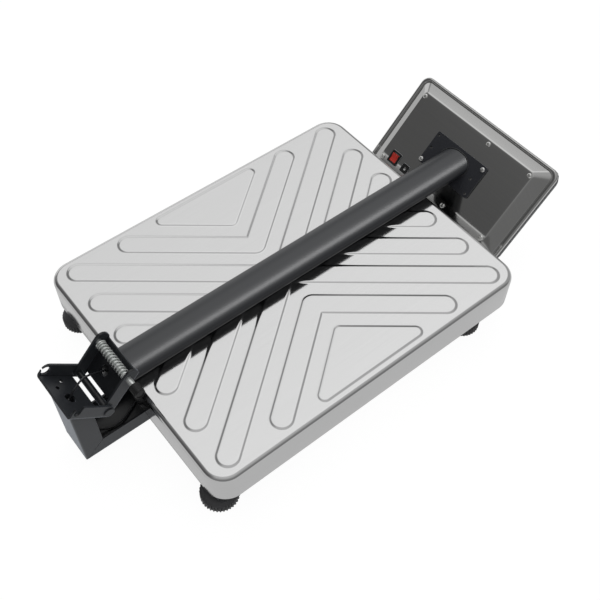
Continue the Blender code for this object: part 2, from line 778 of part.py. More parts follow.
def build_spider():
    hub_x = SPIDER_HUB_LENGTH / 2
    hub_y = SPIDER_HUB_WIDTH / 2
    hub = box_mesh("top_frame", (-hub_x, -hub_y, SPIDER_BOTTOM), (hub_x, hub_y, SPIDER_TOP))
    spider = add_part("top_frame", hub, "black_paint", ROOT)
    reach = math.hypot(BUFFER_X, BUFFER_Y)
    angle = math.atan2(BUFFER_Y, BUFFER_X)
    half = SPIDER_ARM_WIDTH / 2
    for i, turn in enumerate((angle, -angle)):
        outline = rectangle(-reach - half, -half, reach + half, half, half)
        bar = prism_mesh(f"spider_arm_{i}", outline, SPIDER_BOTTOM, SPIDER_TOP)
        bar.transform(Matrix.Rotation(turn, 4, "Z"))
        join(spider, bar)
    for sx in (-1, 1):
        for sy in (-1, 1):
            side = ("left" if sx < 0 else "right") + ("_near" if sy < 0 else "_far")
            low = SPIDER_TOP + GAP
            high = PLATFORM_TOP - PAN_SHEET - GAP
            x = sx * BUFFER_X
            y = sy * BUFFER_Y
            buffer = cylinder_mesh("pan_buffer_" + side, BUFFER_RADIUS, (x, y, low), (x, y, high))
            smooth(buffer)
            add_part("pan_buffer_" + side, buffer, "rubber", ROOT)
    return spider


# Hinge: lower leaf, pivot and upper leaf

def build_lower_leaf():
    """Folded bracket on the post: X along its plate towards the pivot, Z out of its open side."""
    frame = new_empty("lower_leaf_frame", (PIVOT_X, 0.0, PIVOT_Z), ROOT, (0.0, LEAF_ANGLE, 0.0))
    section = channel_outline(LOWER_OUTER_WIDTH, -LOWER_DROP, LOWER_RISE, LEAF_SHEET, LEAF_BEND)
    blank = prism_mesh("lower_leaf", section, -LOWER_LENGTH, LOWER_FLANGE_REACH, "YZ")
    leaf = add_part("lower_leaf", blank, "black_paint", frame)
    nose = (LOWER_DROP + LOWER_RISE) / 2 - GAP
    side = rounded_outline([
        (-LOWER_LENGTH, -LOWER_DROP - GAP, 0.0),
        (LOWER_FLANGE_REACH, -LOWER_DROP - GAP, nose),
        (LOWER_FLANGE_REACH, LOWER_RISE, nose),
        (-LOWER_LENGTH, LOWER_RISE, LOWER_TOP_CORNER),
    ])
    trim(leaf, prism_mesh("lower_leaf_side", side, -LOWER_OUTER_WIDTH, LOWER_OUTER_WIDTH, "XZ"))
    low = (-LOWER_PLATE_STOP, -INNER_FACE, -2 * LOWER_DROP)
    cut(leaf, box_mesh("lower_leaf_stop", low, (2 * LOWER_FLANGE_REACH, INNER_FACE, LOWER_RISE)))
    for y in (-HALF_WIDTH, HALF_WIDTH):
        edges = sorted((y * (1 + GAP), math.copysign(EAR_FACE, y)))
        cut(leaf, cylinder_mesh("pin_hole", PIN_RADIUS + RUN, (0, edges[0], 0), (0, edges[1], 0), ROUND))
    cut(leaf, hook_mesh())
    far = (-LOCK_RADIUS, INNER_FACE - LEAF_SHEET, 0), (-LOCK_RADIUS, HALF_WIDTH + LEAF_SHEET, 0)
    cut(leaf, cylinder_mesh("tip_hole", FAR_HOLE_RADIUS, *far))
    drill_plate(leaf, -LOWER_HOLE_AT, LOWER_HOLE_Y, CABLE_HOLE_RADIUS, -LOWER_DROP)
    for x, y in TAP_HOLES:
        drill_plate(leaf, x, y, TAP_HOLE_RADIUS, -LOWER_DROP)
    return leaf


def drill_plate(leaf, x, y, radius, face):
    """Hole through a leaf's plate, whose outer face lies at face."""
    margin = LEAF_SHEET / 2
    cut(leaf, cylinder_mesh("drill", radius, (x, y, face - margin), (x, y, face + LEAF_SHEET + margin)))


def hook_mesh():
    """Slot along the rod's path: from the open mouth in the flange's edge down to the seat."""
    half = ROD_RADIUS + HOOK_CLEARANCE
    seat = math.pi
    mouth = math.pi / 2 + HOOK_MOUTH_ANGLE
    outer = arc((0, 0), LOCK_RADIUS + half, mouth, seat, ARC_STEP / 3)
    inner = arc((0, 0), LOCK_RADIUS - half, seat, mouth, ARC_STEP / 3)
    end = arc((-LOCK_RADIUS, 0), half, math.pi, math.tau)
    return prism_mesh("hook_slot", outer + end[1:-1] + inner, -HALF_WIDTH - LEAF_SHEET, -EAR_FACE, "XZ")


def build_upper_leaf():
    """Folded bracket under the column: X along its plate away from the pivot, Z towards the lock rod."""
    frame = new_empty("upper_leaf_frame", (0.0, 0.0, 0.0), COLUMN_FOLD, (0.0, -LEAF_ANGLE, 0.0))
    section = channel_outline(2 * EAR_FACE, -UPPER_DROP, UPPER_RISE, LEAF_SHEET, LEAF_BEND)
    blank = prism_mesh("upper_leaf", section, -UPPER_RISE, UPPER_LENGTH, "YZ")
    leaf = add_part("upper_leaf", blank, "black_paint", frame)
    side = rounded_outline([
        (-UPPER_RISE, -UPPER_DROP, UPPER_RISE - GAP),
        (UPPER_LENGTH, -UPPER_DROP, UPPER_TOP_CORNER),
        (UPPER_LENGTH, UPPER_RISE, UPPER_TOP_CORNER),
        (-UPPER_RISE, UPPER_RISE, UPPER_RISE - GAP),
    ])
    trim(leaf, prism_mesh("upper_leaf_side", side, -LOWER_OUTER_WIDTH, LOWER_OUTER_WIDTH, "XZ"))
    for name, start, end in (
        ("start", -2 * UPPER_RISE, UPPER_PLATE_START),
        ("end", UPPER_PLATE_END, UPPER_LENGTH + UPPER_RISE),
    ):
        low = (start, -EAR_INNER, -2 * UPPER_DROP)
        cut(leaf, box_mesh("upper_leaf_" + name, low, (end, EAR_INNER, UPPER_RISE)))
    for x, radius in ((0.0, PIN_RADIUS), (LOCK_RADIUS, ROD_RADIUS)):
        ends = (x, -HALF_WIDTH, 0), (x, HALF_WIDTH, 0)
        cut(leaf, cylinder_mesh("cross_drill", radius + RUN, *ends, ROUND))
    drill_plate(leaf, UPPER_HOLE_AT, UPPER_HOLE_Y, CABLE_HOLE_RADIUS, -UPPER_DROP)
    return leaf


def build_pivot():
    near = HALF_WIDTH + GAP
    far = HALF_WIDTH + GAP + CLIP_THICKNESS + PIN_END
    profile = [
        (0.0, far),
        (PIN_RADIUS, far),
        (PIN_RADIUS, -near),
        (PIN_HEAD_RADIUS, -near),
        (PIN_HEAD_RADIUS, -near - PIN_HEAD_HEIGHT),
        (0.0, -near - PIN_HEAD_HEIGHT),
    ]
    place = (PIVOT_X, 0.0, PIVOT_Z)
    add_turned("pivot_pin", profile, "black_paint", ROOT, place, "Y")
    clip = [
        (PIN_RADIUS + GAP, near + CLIP_THICKNESS),
        (CLIP_RADIUS, near + CLIP_THICKNESS),
        (CLIP_RADIUS, near),
        (PIN_RADIUS + GAP, near),
        (PIN_RADIUS + GAP, near + CLIP_THICKNESS),
    ]
    add_turned("pivot_clip", clip, "zinc", ROOT, place, "Y", SMALL_ROUND)
    length = EAR_INNER - GAP
    sleeve = [
        (PIN_RADIUS + RUN, length),
        (SLEEVE_RADIUS, length),
        (SLEEVE_RADIUS, -length),
        (PIN_RADIUS + RUN, -length),
        (PIN_RADIUS + RUN, length),
    ]
    add_turned("pivot_sleeve", sleeve, "black_paint", ROOT, place, "Y")


# Lock rod with its knob, washer and spring

def build_lock():
    along = math.cos(LEAF_ANGLE) * LOCK_RADIUS
    up = math.sin(LEAF_ANGLE) * LOCK_RADIUS
    slide = new_empty("lock_rod_slide", (along, 0.0, up), COLUMN_FOLD)
    tip = INNER_FACE - GAP
    tail = -KNOB_START - KNOB_BORE_DEPTH + GAP
    rod = [
        (0.0, tip),
        (ROD_RADIUS - ROD_TIP_CHAMFER, tip),
        (ROD_RADIUS, tip - ROD_TIP_CHAMFER),
        (ROD_RADIUS, tail),
        (0.0, tail),
    ]
    add_turned("lock_rod", rod, "zinc", slide, (0, 0, 0), "Y", SMALL_ROUND)
    low = -KNOB_START - KNOB_LENGTH
    knob = [
        (0.0, -KNOB_START - KNOB_BORE_DEPTH),
        (ROD_RADIUS + GAP, -KNOB_START - KNOB_BORE_DEPTH),
        (ROD_RADIUS + GAP, -KNOB_START),
        (KNOB_RADIUS - KNOB_CHAMFER, -KNOB_START),
        (KNOB_RADIUS, -KNOB_START - KNOB_CHAMFER),
        (KNOB_RADIUS, low + KNOB_CHAMFER),
        (KNOB_RADIUS - KNOB_CHAMFER, low),
        (0.0, low),
    ]
    add_turned("lock_knob", knob, "black_plastic", slide, (0, 0, 0), "Y")
    face = EAR_INNER - GAP - LOCK_THROW
    washer = [
        (ROD_RADIUS + GAP, face),
        (WASHER_RADIUS, face),
        (WASHER_RADIUS, face - WASHER_THICKNESS),
        (ROD_RADIUS + GAP, face - WASHER_THICKNESS),
        (ROD_RADIUS + GAP, face),
    ]
    add_turned("spring_washer", washer, "zinc", slide, (0, 0, 0), "Y", SMALL_ROUND)
    start = -EAR_INNER + GAP + SPRING_WIRE_RADIUS
    end = face - WASHER_THICKNESS - GAP - SPRING_WIRE_RADIUS
    per_turn = 8
    count = SPRING_TURNS * per_turn
    coil = []
    for i in range(count + 1):
        angle = math.tau * i / per_turn
        y = start + (end - start) * i / count
        coil.append((SPRING_MEAN_RADIUS * math.cos(angle), y, SPRING_MEAN_RADIUS * math.sin(angle)))
    add_tube("lock_spring", coil, SPRING_WIRE_RADIUS, "zinc", slide, 1)


# Column tube and the display head

def build_column():
    """Tube mitred in the planes of the upper leaf and the head, as a straight tube sheared along X."""
    slope = math.tan(LEAF_ANGLE)
    leaf_reach = (UPPER_DROP + GAP) / math.sin(LEAF_ANGLE)
    start = PIVOT_X + leaf_reach - (PIVOT_Z - COLUMN_Z) / slope
    plate_reach = (GAP + PLATE_THICKNESS + GAP) / math.sin(LEAF_ANGLE)
    end = HEAD_X - plate_reach - (HEAD_Z - COLUMN_Z) / slope
    half_y = COLUMN_WIDTH / 2
    half_z = COLUMN_HEIGHT / 2
    wall = COLUMN_WALL
    outer = rectangle(-half_y, -half_z, half_y, half_z, COLUMN_CORNER)
    inner = rectangle(wall - half_y, wall - half_z, half_y - wall, half_z - wall, COLUMN_CORNER - wall)
    mitre = Matrix.Identity(4)
    mitre[0][2] = 1 / slope
    tube_mesh = prism_mesh("column_tube", outer, start, end, "YZ")
    tube_mesh.transform(mitre)
    smooth(tube_mesh)
    frame = new_empty("column_frame", (-PIVOT_X, 0.0, COLUMN_Z - PIVOT_Z), COLUMN_FOLD)
    tube = add_part("column_tube", tube_mesh, "grey_paint", frame)
    bore = prism_mesh("column_bore", inner, start - COLUMN_HEIGHT, end + COLUMN_HEIGHT, "YZ")
    cut(tube, bore)
    return tube


def build_mounting_plate(frame):
    low = GAP
    high = GAP + PLATE_THICKNESS
    half_x = PLATE_HEIGHT / 2
    half_y = PLATE_LENGTH / 2
    outline = rectangle(PLATE_AT - half_x, -half_y, PLATE_AT + half_x, half_y, PLATE_CORNER)
    blank = prism_mesh("mounting_plate", outline, low, high)
    plate = add_part("mounting_plate", blank, "grey_paint", frame)
    for x, y in PLATE_HOLES:
        cut(plate, cylinder_mesh("plate_drill", PLATE_HOLE_RADIUS, (x, y, 0), (x, y, 2 * high), 10))
    drill = CABLE_RADIUS + HEAD_HOLE_CLEARANCE
    cut(plate, cylinder_mesh("plate_cable_drill", drill, (0, 0, 0), (0, 0, 2 * high)))
    return plate


def head_ring(half_x, half_y, corner, height, shift):
    return [(x + shift, y, height) for x, y in rectangle(-half_x, -half_y, half_x, half_y, corner)]


def build_back_shell(frame):
    rim_x = HEAD_RIM_HEIGHT / 2
    rim_y = HEAD_RIM_LENGTH / 2
    rings = [
        head_ring(HEAD_FLAT_HEIGHT / 2, HEAD_FLAT_LENGTH / 2, HEAD_FLAT_CORNER, 0.0, 0.0),
        head_ring(rim_x, rim_y, HEAD_RIM_CORNER, -HEAD_BACK_DEPTH, HEAD_RIM_SHIFT),
        head_ring(rim_x, rim_y, HEAD_RIM_CORNER, -HEAD_BACK_DEPTH - HEAD_LIP, HEAD_RIM_SHIFT),
    ]
    shell = add_part("head_back_shell", loft_mesh("head_back_shell", rings, True), "back_steel", frame)
    thicken(shell, HEAD_SHEET)
    reach = 2 * HEAD_SHEET
    drill = CABLE_RADIUS + HEAD_HOLE_CLEARANCE
    cut(shell, cylinder_mesh("back_cable_drill", drill, (0, 0, -reach), (0, 0, reach)))
    for name, (x, y), length, width, margin in (
        ("switch", SWITCH_AT, SWITCH_LENGTH, SWITCH_WIDTH, SWITCH_BODY_MARGIN),
        ("socket", SOCKET_AT, SOCKET_SIZE, SOCKET_SIZE, SOCKET_BODY_MARGIN),
    ):
        half_x = length / 2 - margin + GAP
        half_y = width / 2 - margin + GAP
        low = (x - half_x, y - half_y, -reach)
        cut(shell, box_mesh(name + "_opening", low, (x + half_x, y + half_y, reach)))
    return shell


def build_front_shell(frame):
    rim = -HEAD_BACK_DEPTH - HEAD_LIP - GAP
    rim_x = HEAD_RIM_HEIGHT / 2
    rim_y = HEAD_RIM_LENGTH / 2
    face_x = rim_x - FRONT_TAPER
    face_y = rim_y - FRONT_TAPER
    rings = [
        head_ring(face_x, face_y, HEAD_RIM_CORNER, HEAD_FRONT, HEAD_RIM_SHIFT),
        head_ring(rim_x, rim_y, HEAD_RIM_CORNER, rim - HEAD_LIP, HEAD_RIM_SHIFT),
        head_ring(rim_x, rim_y, HEAD_RIM_CORNER, rim, HEAD_RIM_SHIFT),
    ]
    blank = loft_mesh("head_front_shell", rings, True)
    shell = add_part("head_front_shell", blank, "housing_plastic", frame)
    thicken(shell, FRONT_WALL)
    half_x = WINDOW_HEIGHT / 2
    half_y = WINDOW_LENGTH / 2
    deep = 2 * FRONT_WALL
    low = (WINDOW_AT - half_x, -half_y, HEAD_FRONT - deep)
    cut(shell, box_mesh("window_opening", low, (WINDOW_AT + half_x, half_y, HEAD_FRONT + deep)))
    half_x = KEYPAD_HEIGHT / 2 + GAP
    half_y = KEYPAD_LENGTH / 2 + GAP
    low = (KEYPAD_AT - half_x, -half_y, HEAD_FRONT - deep)
    cut(shell, box_mesh("keypad_recess", low, (KEYPAD_AT + half_x, half_y, HEAD_FRONT + KEYPAD_RECESS)))
    return shell


def build_front_parts(frame):
    """Window, display module, board, keypad film and battery, from the face inwards."""
    half_x = KEYPAD_HEIGHT / 2
    half_y = KEYPAD_LENGTH / 2
    top = HEAD_FRONT + KEYPAD_RECESS - GAP
    film = prism_mesh(
        "keypad_film",
        rectangle(KEYPAD_AT - half_x, -half_y, KEYPAD_AT + half_x, half_y, FRONT_TAPER / 2),
        top - KEYPAD_THICKNESS + GAP,
        top,
    )
    add_part("keypad_film", film, "keypad_film", frame)
    level = HEAD_FRONT + FRONT_WALL + GAP
    glass = (WINDOW_HEIGHT + 2 * WINDOW_LAP, WINDOW_LENGTH + 2 * WINDOW_LAP)
    for name, finish, size_x, size_y, at, depth in (
        ("display_window", "window", *glass, WINDOW_AT, WINDOW_THICKNESS),
        ("display_module", "black_plastic", WINDOW_HEIGHT, WINDOW_LENGTH, WINDOW_AT, MODULE_DEPTH),
        ("circuit_board", "board_green", BOARD_HEIGHT, BOARD_LENGTH, BOARD_AT, BOARD_THICKNESS),
    ):
        low = (at - size_x / 2, -size_y / 2, level)
        high = (at + size_x / 2, size_y / 2, level + depth)
        add_part(name, box_mesh(name, low, high), finish, frame)
        level += depth + GAP
    x, y = BATTERY_AT
    top = -HEAD_SHEET - GAP
    low = (x - BATTERY_HEIGHT / 2, y - BATTERY_LENGTH / 2, top - BATTERY_DEPTH)
    high = (x + BATTERY_HEIGHT / 2, y + BATTERY_LENGTH / 2, top)
    add_part("battery", box_mesh("battery", low, high), "black_plastic", frame)
    return level


def build_switch(frame):
    """Bezel with a well, and the rocker on its pivot; at rest the rocker is pressed down at one end."""
    x, y = SWITCH_AT
    half_x = SWITCH_LENGTH / 2
    half_y = SWITCH_WIDTH / 2
    bezel_mesh = prism_mesh(
        "rocker_frame",
        rectangle(x - half_x, y - half_y, x + half_x, y + half_y, SWITCH_BODY_MARGIN),
        GAP,
        GAP + SWITCH_FLANGE,
    )
    bezel = add_part("rocker_frame", bezel_mesh, "black_plastic", frame)
    margin = SWITCH_BODY_MARGIN
    low = (x - half_x + margin, y - half_y + margin, -SWITCH_BODY_DEPTH - SWITCH_FLANGE)
    high = (x + half_x - margin, y + half_y - margin, GAP + SWITCH_FLANGE / 2)
    join(bezel, box_mesh("rocker_body", low, high))
    well_x = SWITCH_WELL_LENGTH / 2
    well_y = SWITCH_WELL_WIDTH / 2
    low = (x - well_x, y - well_y, -SWITCH_WELL_DEPTH)
    cut(bezel, box_mesh("rocker_well", low, (x + well_x, y + well_y, 2 * SWITCH_FLANGE)))
    tilt = new_empty("rocker_tilt", (x, y, SWITCH_PIVOT), frame, (0.0, -ROCKER_TILT, 0.0))
    reach = ROCKER_RADIUS
    keel = arc((0.0, 0.0), reach, math.pi, math.tau)
    outline = keel + [(reach, ROCKER_RISE), (0.0, ROCKER_DIP), (-reach, ROCKER_RISE)]
    half = SWITCH_WELL_WIDTH / 2 - RUN
    rocker = add_part("rocker", prism_mesh("rocker", outline, -half, half, "XZ"), "rocker_red", tilt)
    smooth(rocker.data)


def build_socket(frame):
    x, y = SOCKET_AT
    half = SOCKET_SIZE / 2
    flange = rectangle(x - half, y - half, x + half, y + half, SOCKET_BODY_MARGIN)
    blank = prism_mesh("power_socket", flange, GAP, GAP + SOCKET_FLANGE)
    socket = add_part("power_socket", blank, "black_plastic", frame)
    half -= SOCKET_BODY_MARGIN
    low = (x - half, y - half, -SOCKET_DEPTH)
    join(socket, box_mesh("socket_body", low, (x + half, y + half, GAP + SOCKET_FLANGE / 2)))
    floor = GAP + SOCKET_FLANGE - SOCKET_BORE_DEPTH
    cut(socket, cylinder_mesh("socket_bore", SOCKET_BORE_RADIUS, (x, y, floor), (x, y, SOCKET_DEPTH)))
    root = floor - SOCKET_FLANGE
    join(socket, cylinder_mesh("socket_pin", SOCKET_PIN_RADIUS, (x, y, root), (x, y, 0.0), 10))


def build_head():
    place = (HEAD_X - PIVOT_X, 0.0, HEAD_Z - PIVOT_Z)
    frame = new_empty("head_frame", place, COLUMN_FOLD, (0.0, -LEAF_ANGLE, 0.0))
    build_mounting_plate(frame)
    build_back_shell(frame)
    build_front_shell(frame)
    board_top = build_front_parts(frame)
    build_switch(frame)
    build_socket(frame)
    return board_top


# Signal cable

def smooth_route(points, step):
    """Points about step apart on a curve through the given ones, closer where a leg is short."""
    vectors = [Vector(p) for p in points]
    ends = [2 * vectors[0] - vectors[1]] + vectors + [2 * vectors[-1] - vectors[-2]]
    route = []
    for a, b, c, d in zip(ends, ends[1:], ends[2:], ends[3:]):
        count = max(1, round((c - b).length / step))
        for i in range(count):
            t = i / count
            route.append(0.5 * (2 * b + (c - a) * t + (2 * a - 5 * b + 4 * c - d) * t ** 2
                                + (3 * b - a - 3 * c + d) * t ** 3))
    route.append(vectors[-1])
    return route


def build_cable(board_top):
    """From the load cell along the arm, up the post, over the hinge and through the column to the board."""
    arm_floor = ARM_BOTTOM + ARM_SHEET + CABLE_RADIUS + CABLE_SLACK
    column_floor = PLATFORM_TOP + COLUMN_CLEAR + COLUMN_WALL + CABLE_RADIUS + CABLE_SLACK
    middle = (CELL_BOTTOM + CELL_TOP) / 2
    slope = Vector((math.sin(LEAF_ANGLE), 0.0, math.cos(LEAF_ANGLE)))
    down = Vector((math.cos(LEAF_ANGLE), 0.0, -math.sin(LEAF_ANGLE)))
    pivot = Vector((PIVOT_X, 0.0, PIVOT_Z))
    lower = pivot - down * LOWER_HOLE_AT - slope * (LOWER_DROP - LEAF_SHEET / 2)
    lower.y = LOWER_HOLE_Y
    upper = pivot + slope * UPPER_HOLE_AT + down * (UPPER_DROP - LEAF_SHEET / 2)
    upper.y = UPPER_HOLE_Y
    back = Vector((HEAD_X, 0.0, HEAD_Z))
    cell = -CELL_LENGTH / 2
    points = [
        Vector((cell - CABLE_SLACK / 2, 0.0, middle)),
        Vector((cell - 0.012, 0.0, middle)),
        Vector((cell - 0.026, -0.001, middle - 0.005)),
        Vector((cell - 0.053, 0.002, arm_floor + 0.010)),
        Vector((cell - 0.085, 0.006, arm_floor)),
        Vector((RAIL_LEFT_X + 0.026, 0.012, arm_floor)),
        Vector((RAIL_LEFT_X - 0.005, 0.003, arm_floor)),
        Vector((POST_FACE_X + 0.063, -0.015, arm_floor)),
        Vector((POST_FACE_X + 0.038, -0.012, arm_floor + 0.001)),
        Vector((POST_FACE_X + 0.017, -0.006, ARM_TOP)),
        Vector((POST_FACE_X + 0.0105, -0.005, ARM_TOP + 0.030)),
        lower - slope * 0.008,
        lower,
        lower + slope * 0.013 + Vector((0.001, 0.002, 0.001)),
        lower + Vector((0.027, 0.007, 0.012)),
        upper - down * 0.010 + Vector((0.0, -0.002, 0.0)),
        upper,
        upper + down * 0.006,
        Vector((upper.x + 0.024, 0.006, column_floor + 0.001)),
        Vector((upper.x + 0.060, 0.003, column_floor)),
        Vector((0.0, 0.0, column_floor)),
        Vector((HEAD_X - 0.060, 0.0, column_floor)),
        back - down * 0.016,
        back,
        back + down * (-board_top - CABLE_RADIUS),
    ]
    add_tube("signal_cable", smooth_route(points, CABLE_STEP), CABLE_RADIUS, "cable_grey", ROOT)


def stand_on_origin():
    """Move the root so that the middle of the object's footprint lies on the origin, on the floor."""
    bpy.context.view_layer.update()
    depsgraph = bpy.context.evaluated_depsgraph_get()
    places = []
    for obj in PARTS.objects:
        if obj.type != "EMPTY":
            evaluated = obj.evaluated_get(depsgraph)
            places += [evaluated.matrix_world @ vertex.co for vertex in evaluated.to_mesh().vertices]
            evaluated.to_mesh_clear()
    low = Vector([min(place[i] for place in places) for i in range(3)])
    high = Vector([max(place[i] for place in places) for i in range(3)])
    ROOT.location = (-(low.x + high.x) / 2, -(low.y + high.y) / 2, -low.z)
    bpy.context.view_layer.update()


clear_scene()
PARTS = new_collection("folding_platform_scale")
GUIDES = new_collection("cutters")
ROOT = new_empty("scale_root", (0.0, 0.0, 0.0), None)
COLUMN_FOLD = new_empty("column_fold", (PIVOT_X, 0.0, PIVOT_Z), ROOT)
build_pan()
build_arm()
build_post()
for rail_name, rail_x in (("left", RAIL_LEFT_X), ("right", RAIL_RIGHT_X)):
    for side_name, rail_side in (("near", -1), ("far", 1)):
        build_rail(f"base_rail_{rail_name}_{side_name}", rail_x, rail_side)
        build_foot(f"{rail_name}_{side_name}", rail_x, rail_side * FOOT_Y)
build_cell()
build_lower_leaf()
build_upper_leaf()
build_pivot()
build_lock()
build_column()
build_cable(build_head())
stand_on_origin()
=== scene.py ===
"""Looks of a folding platform scale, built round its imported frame.

Metres, +Z up, +X from the hinge to the display head. The CAD pieces give the places; the pieces
made here take over where rounder edges, pressed forms and finer details show.
"""

import json
import math

import bmesh
import bpy
import numpy as np
from mathutils import Matrix, Vector
from mathutils.geometry import delaunay_2d_cdt

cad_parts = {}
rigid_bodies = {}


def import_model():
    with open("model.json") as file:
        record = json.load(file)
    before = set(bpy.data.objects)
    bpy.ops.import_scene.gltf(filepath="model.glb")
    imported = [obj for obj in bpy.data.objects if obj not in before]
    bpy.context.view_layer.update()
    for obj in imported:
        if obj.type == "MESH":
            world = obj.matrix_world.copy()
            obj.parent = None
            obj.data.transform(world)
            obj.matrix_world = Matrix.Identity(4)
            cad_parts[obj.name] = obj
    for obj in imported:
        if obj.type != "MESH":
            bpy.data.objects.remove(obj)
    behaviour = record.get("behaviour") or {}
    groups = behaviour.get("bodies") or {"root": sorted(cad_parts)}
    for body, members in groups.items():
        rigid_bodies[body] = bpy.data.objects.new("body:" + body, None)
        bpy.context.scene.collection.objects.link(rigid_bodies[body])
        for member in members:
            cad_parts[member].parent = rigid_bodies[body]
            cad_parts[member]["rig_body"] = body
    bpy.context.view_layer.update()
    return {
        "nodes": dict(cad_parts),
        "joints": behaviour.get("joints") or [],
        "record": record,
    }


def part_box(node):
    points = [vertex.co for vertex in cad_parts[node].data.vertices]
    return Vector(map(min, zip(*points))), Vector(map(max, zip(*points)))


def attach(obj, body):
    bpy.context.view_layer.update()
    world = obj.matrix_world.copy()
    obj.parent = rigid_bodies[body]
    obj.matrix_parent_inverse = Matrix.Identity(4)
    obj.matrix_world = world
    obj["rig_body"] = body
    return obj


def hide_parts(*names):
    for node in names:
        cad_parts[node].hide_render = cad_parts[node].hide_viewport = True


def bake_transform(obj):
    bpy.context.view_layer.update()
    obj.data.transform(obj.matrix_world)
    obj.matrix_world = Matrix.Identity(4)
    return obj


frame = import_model()

MM = 0.001

# Camera, found by fitting the pan's corners and ribs to the photograph
CAMERA_PLACE = (-0.46587, -0.57839, 1.02448)
CAMERA_TURN = (36.155, -0.312, -38.528)
CAMERA_LENS = 52.86

# Studio. A way is the direction that light comes from, a level is a strength of white, and an
# edge holds the cosines at which a round area begins and is whole.
# Walls: level by the height of a direction
SKY = ((0.0, 0.36), (0.26, 0.21), (0.57, 0.25), (0.72, 0.40), (1.0, 0.60))
# Dark flag that the head's flat steel back mirrors, and the share of the walls' light it takes
FLAG_WAY = (-0.70, 0.44, 0.57)
FLAG_EDGE = (0.78, 0.93)
FLAG_SHARE = 0.52
# Bright ceiling that the pan mirrors: its level goes from the first to the second over a span of Y
CEILING_WAY = (0.30, 0.42, 0.86)
CEILING_EDGE = (0.82, 0.95)
CEILING_LEVEL = (1.04, 0.90)
CEILING_SPAN = (0.30, 0.63)
# White cloth behind the scale
CLOTH_WAY = (0.25, 0.97, 0.0)
CLOTH_EDGE = (0.78, 0.93)
CLOTH_LEVEL = 0.9
# Grey wall beyond the head, which the slopes of the ribs on that side mirror
WALL_WAY = (0.86, 0.0, 0.51)
WALL_EDGE = (0.75, 0.90)
WALL_LEVEL = 0.40
# Strip lamp that gives the column its long bright band
LAMP_PLACE = (0.65, -0.24, 1.60)
LAMP_TURN = math.radians(20)
LAMP_SIZE = (1.7, 0.55)
LAMP_WATTS = 13.0
# Floor: the share of it that shines white, and how bright, to the camera and to shiny surfaces
FLOOR_SIZE = 30.0
FLOOR_CARD = "#D8D8D8"
FLOOR_SHARE = 0.80
FLOOR_WHITE = 1.19
FLOOR_MIRRORED_SHARE = 0.60
FLOOR_MIRRORED = 0.82

# Finishes: octaves of the noise that they follow
NOISE_DETAIL = 3.0

# Pan: ribs along the diagonals, and slopes that start outside a rib's outline and end inside it
RIB_WIDTH = 30.1 * MM
RIB_PITCH = 49.4 * MM
RIB_HEIGHT = 1.15 * MM
RIB_MARGIN_X = 21 * MM
RIB_MARGIN_Y = 19 * MM
RIB_FIELD_CORNER = 9 * MM
RIB_FIELD_MARGIN = 12 * MM
RIB_SLOPE_OUT = 1.5 * MM
RIB_SLOPE_IN = 3.3 * MM
RIB_PROBE = 0.02 * MM
SLOPE_PITCH = 1.2 * MM
FLAT_PITCH = 12 * MM
MERGE_DISTANCE = 1e-7
PAN_EDGE = 7 * MM
PAN_EDGE_STEPS = 10
PAN_CORNER = 30 * MM
PAN_CORNER_STEPS = 12
PAN_SHEET = 1 * MM
PAN_HEM = 0.8 * MM
# Insets and heights round the hem, as shares of its size
HEM_SECTION = ((0.0, 1.0), (0.15, 0.3), (0.6, 0.0), (1.2, 0.4))
# Insets and drops of the sheet's inner side under the rolled edge, as shares of that edge
INNER_BEND = ((0.5, 0.3), (1.0, 0.0))

# Column tube
TUBE_SHOULDER = 22 * MM
TUBE_CORNER = 11 * MM
TUBE_CORNER_STEPS = 14
TUBE_CROWN = 0.9 * MM
TUBE_WALL = 2 * MM
TUBE_CHAMFER = 0.5 * MM

# Display head, from the middle of its flat back: X up its face, Z out of the back
HEAD_FROM_PIVOT = (0.6080, 0.0, 0.0046)
LEAF_ANGLE = math.radians(45)
FLAT_HALF = (61 * MM, 110 * MM)
RIM_HALF = (79.75 * MM, 135 * MM)
RIM_SHIFT = 0.75 * MM
FLAT_CORNER = 7 * MM
RIM_CORNER = 13 * MM
# Way from the flat's edge, 0, to the rim, 1, and height in millimetres: soft bend, slope, narrow
# land, groove, and a rolled bead that ends at the rim
BACK_SECTION = (
    (-0.12, 0.0), (-0.06, -0.06), (0.0, -0.5), (0.05, -1.4), (0.10, -2.5), (0.68, -14.6),
    (0.71, -15.4), (0.725, -16.1), (0.74, -16.5), (0.755, -16.4), (0.77, -15.9), (0.79, -15.3),
    (0.82, -14.9), (0.86, -14.75), (0.90, -14.8), (0.935, -15.1), (0.965, -15.7), (0.985, -16.5),
    (0.998, -17.6), (1.0, -18.6), (0.99, -19.0),
)
BACK_MIDDLE = -0.32
BACK_SHEET = 1.2 * MM
BACK_INNER_POINTS = 7
BACK_INNER_INSET = 0.3 * MM

# Screws of the head's back and of the plate, and their dome as shares of radius and height
SCREW_PLACES = [(x * MM, y * MM, 0.0) for x in (54.5, -54.5) for y in (105, -26, -105)]
PLATE_SCREWS = [(-20.6 * MM, 46.8 * MM, 3.3 * MM), (21.7 * MM, -44.4 * MM, 3.3 * MM)]
SCREW_RADIUS = 3.8 * MM
SCREW_HEIGHT = 2.2 * MM
SCREW_DOME = ((0.42, 1.0), (0.72, 0.86), (0.92, 0.55), (1.0, 0.12), (1.0, -0.6))
SCREW_STEPS = 32
SCREW_TURN = 0.7
RECESS_HALVES = (0.32 * MM, 1.7 * MM)
RECESS_FLOOR = 0.9 * MM
RECESS_TOP = 3 * MM

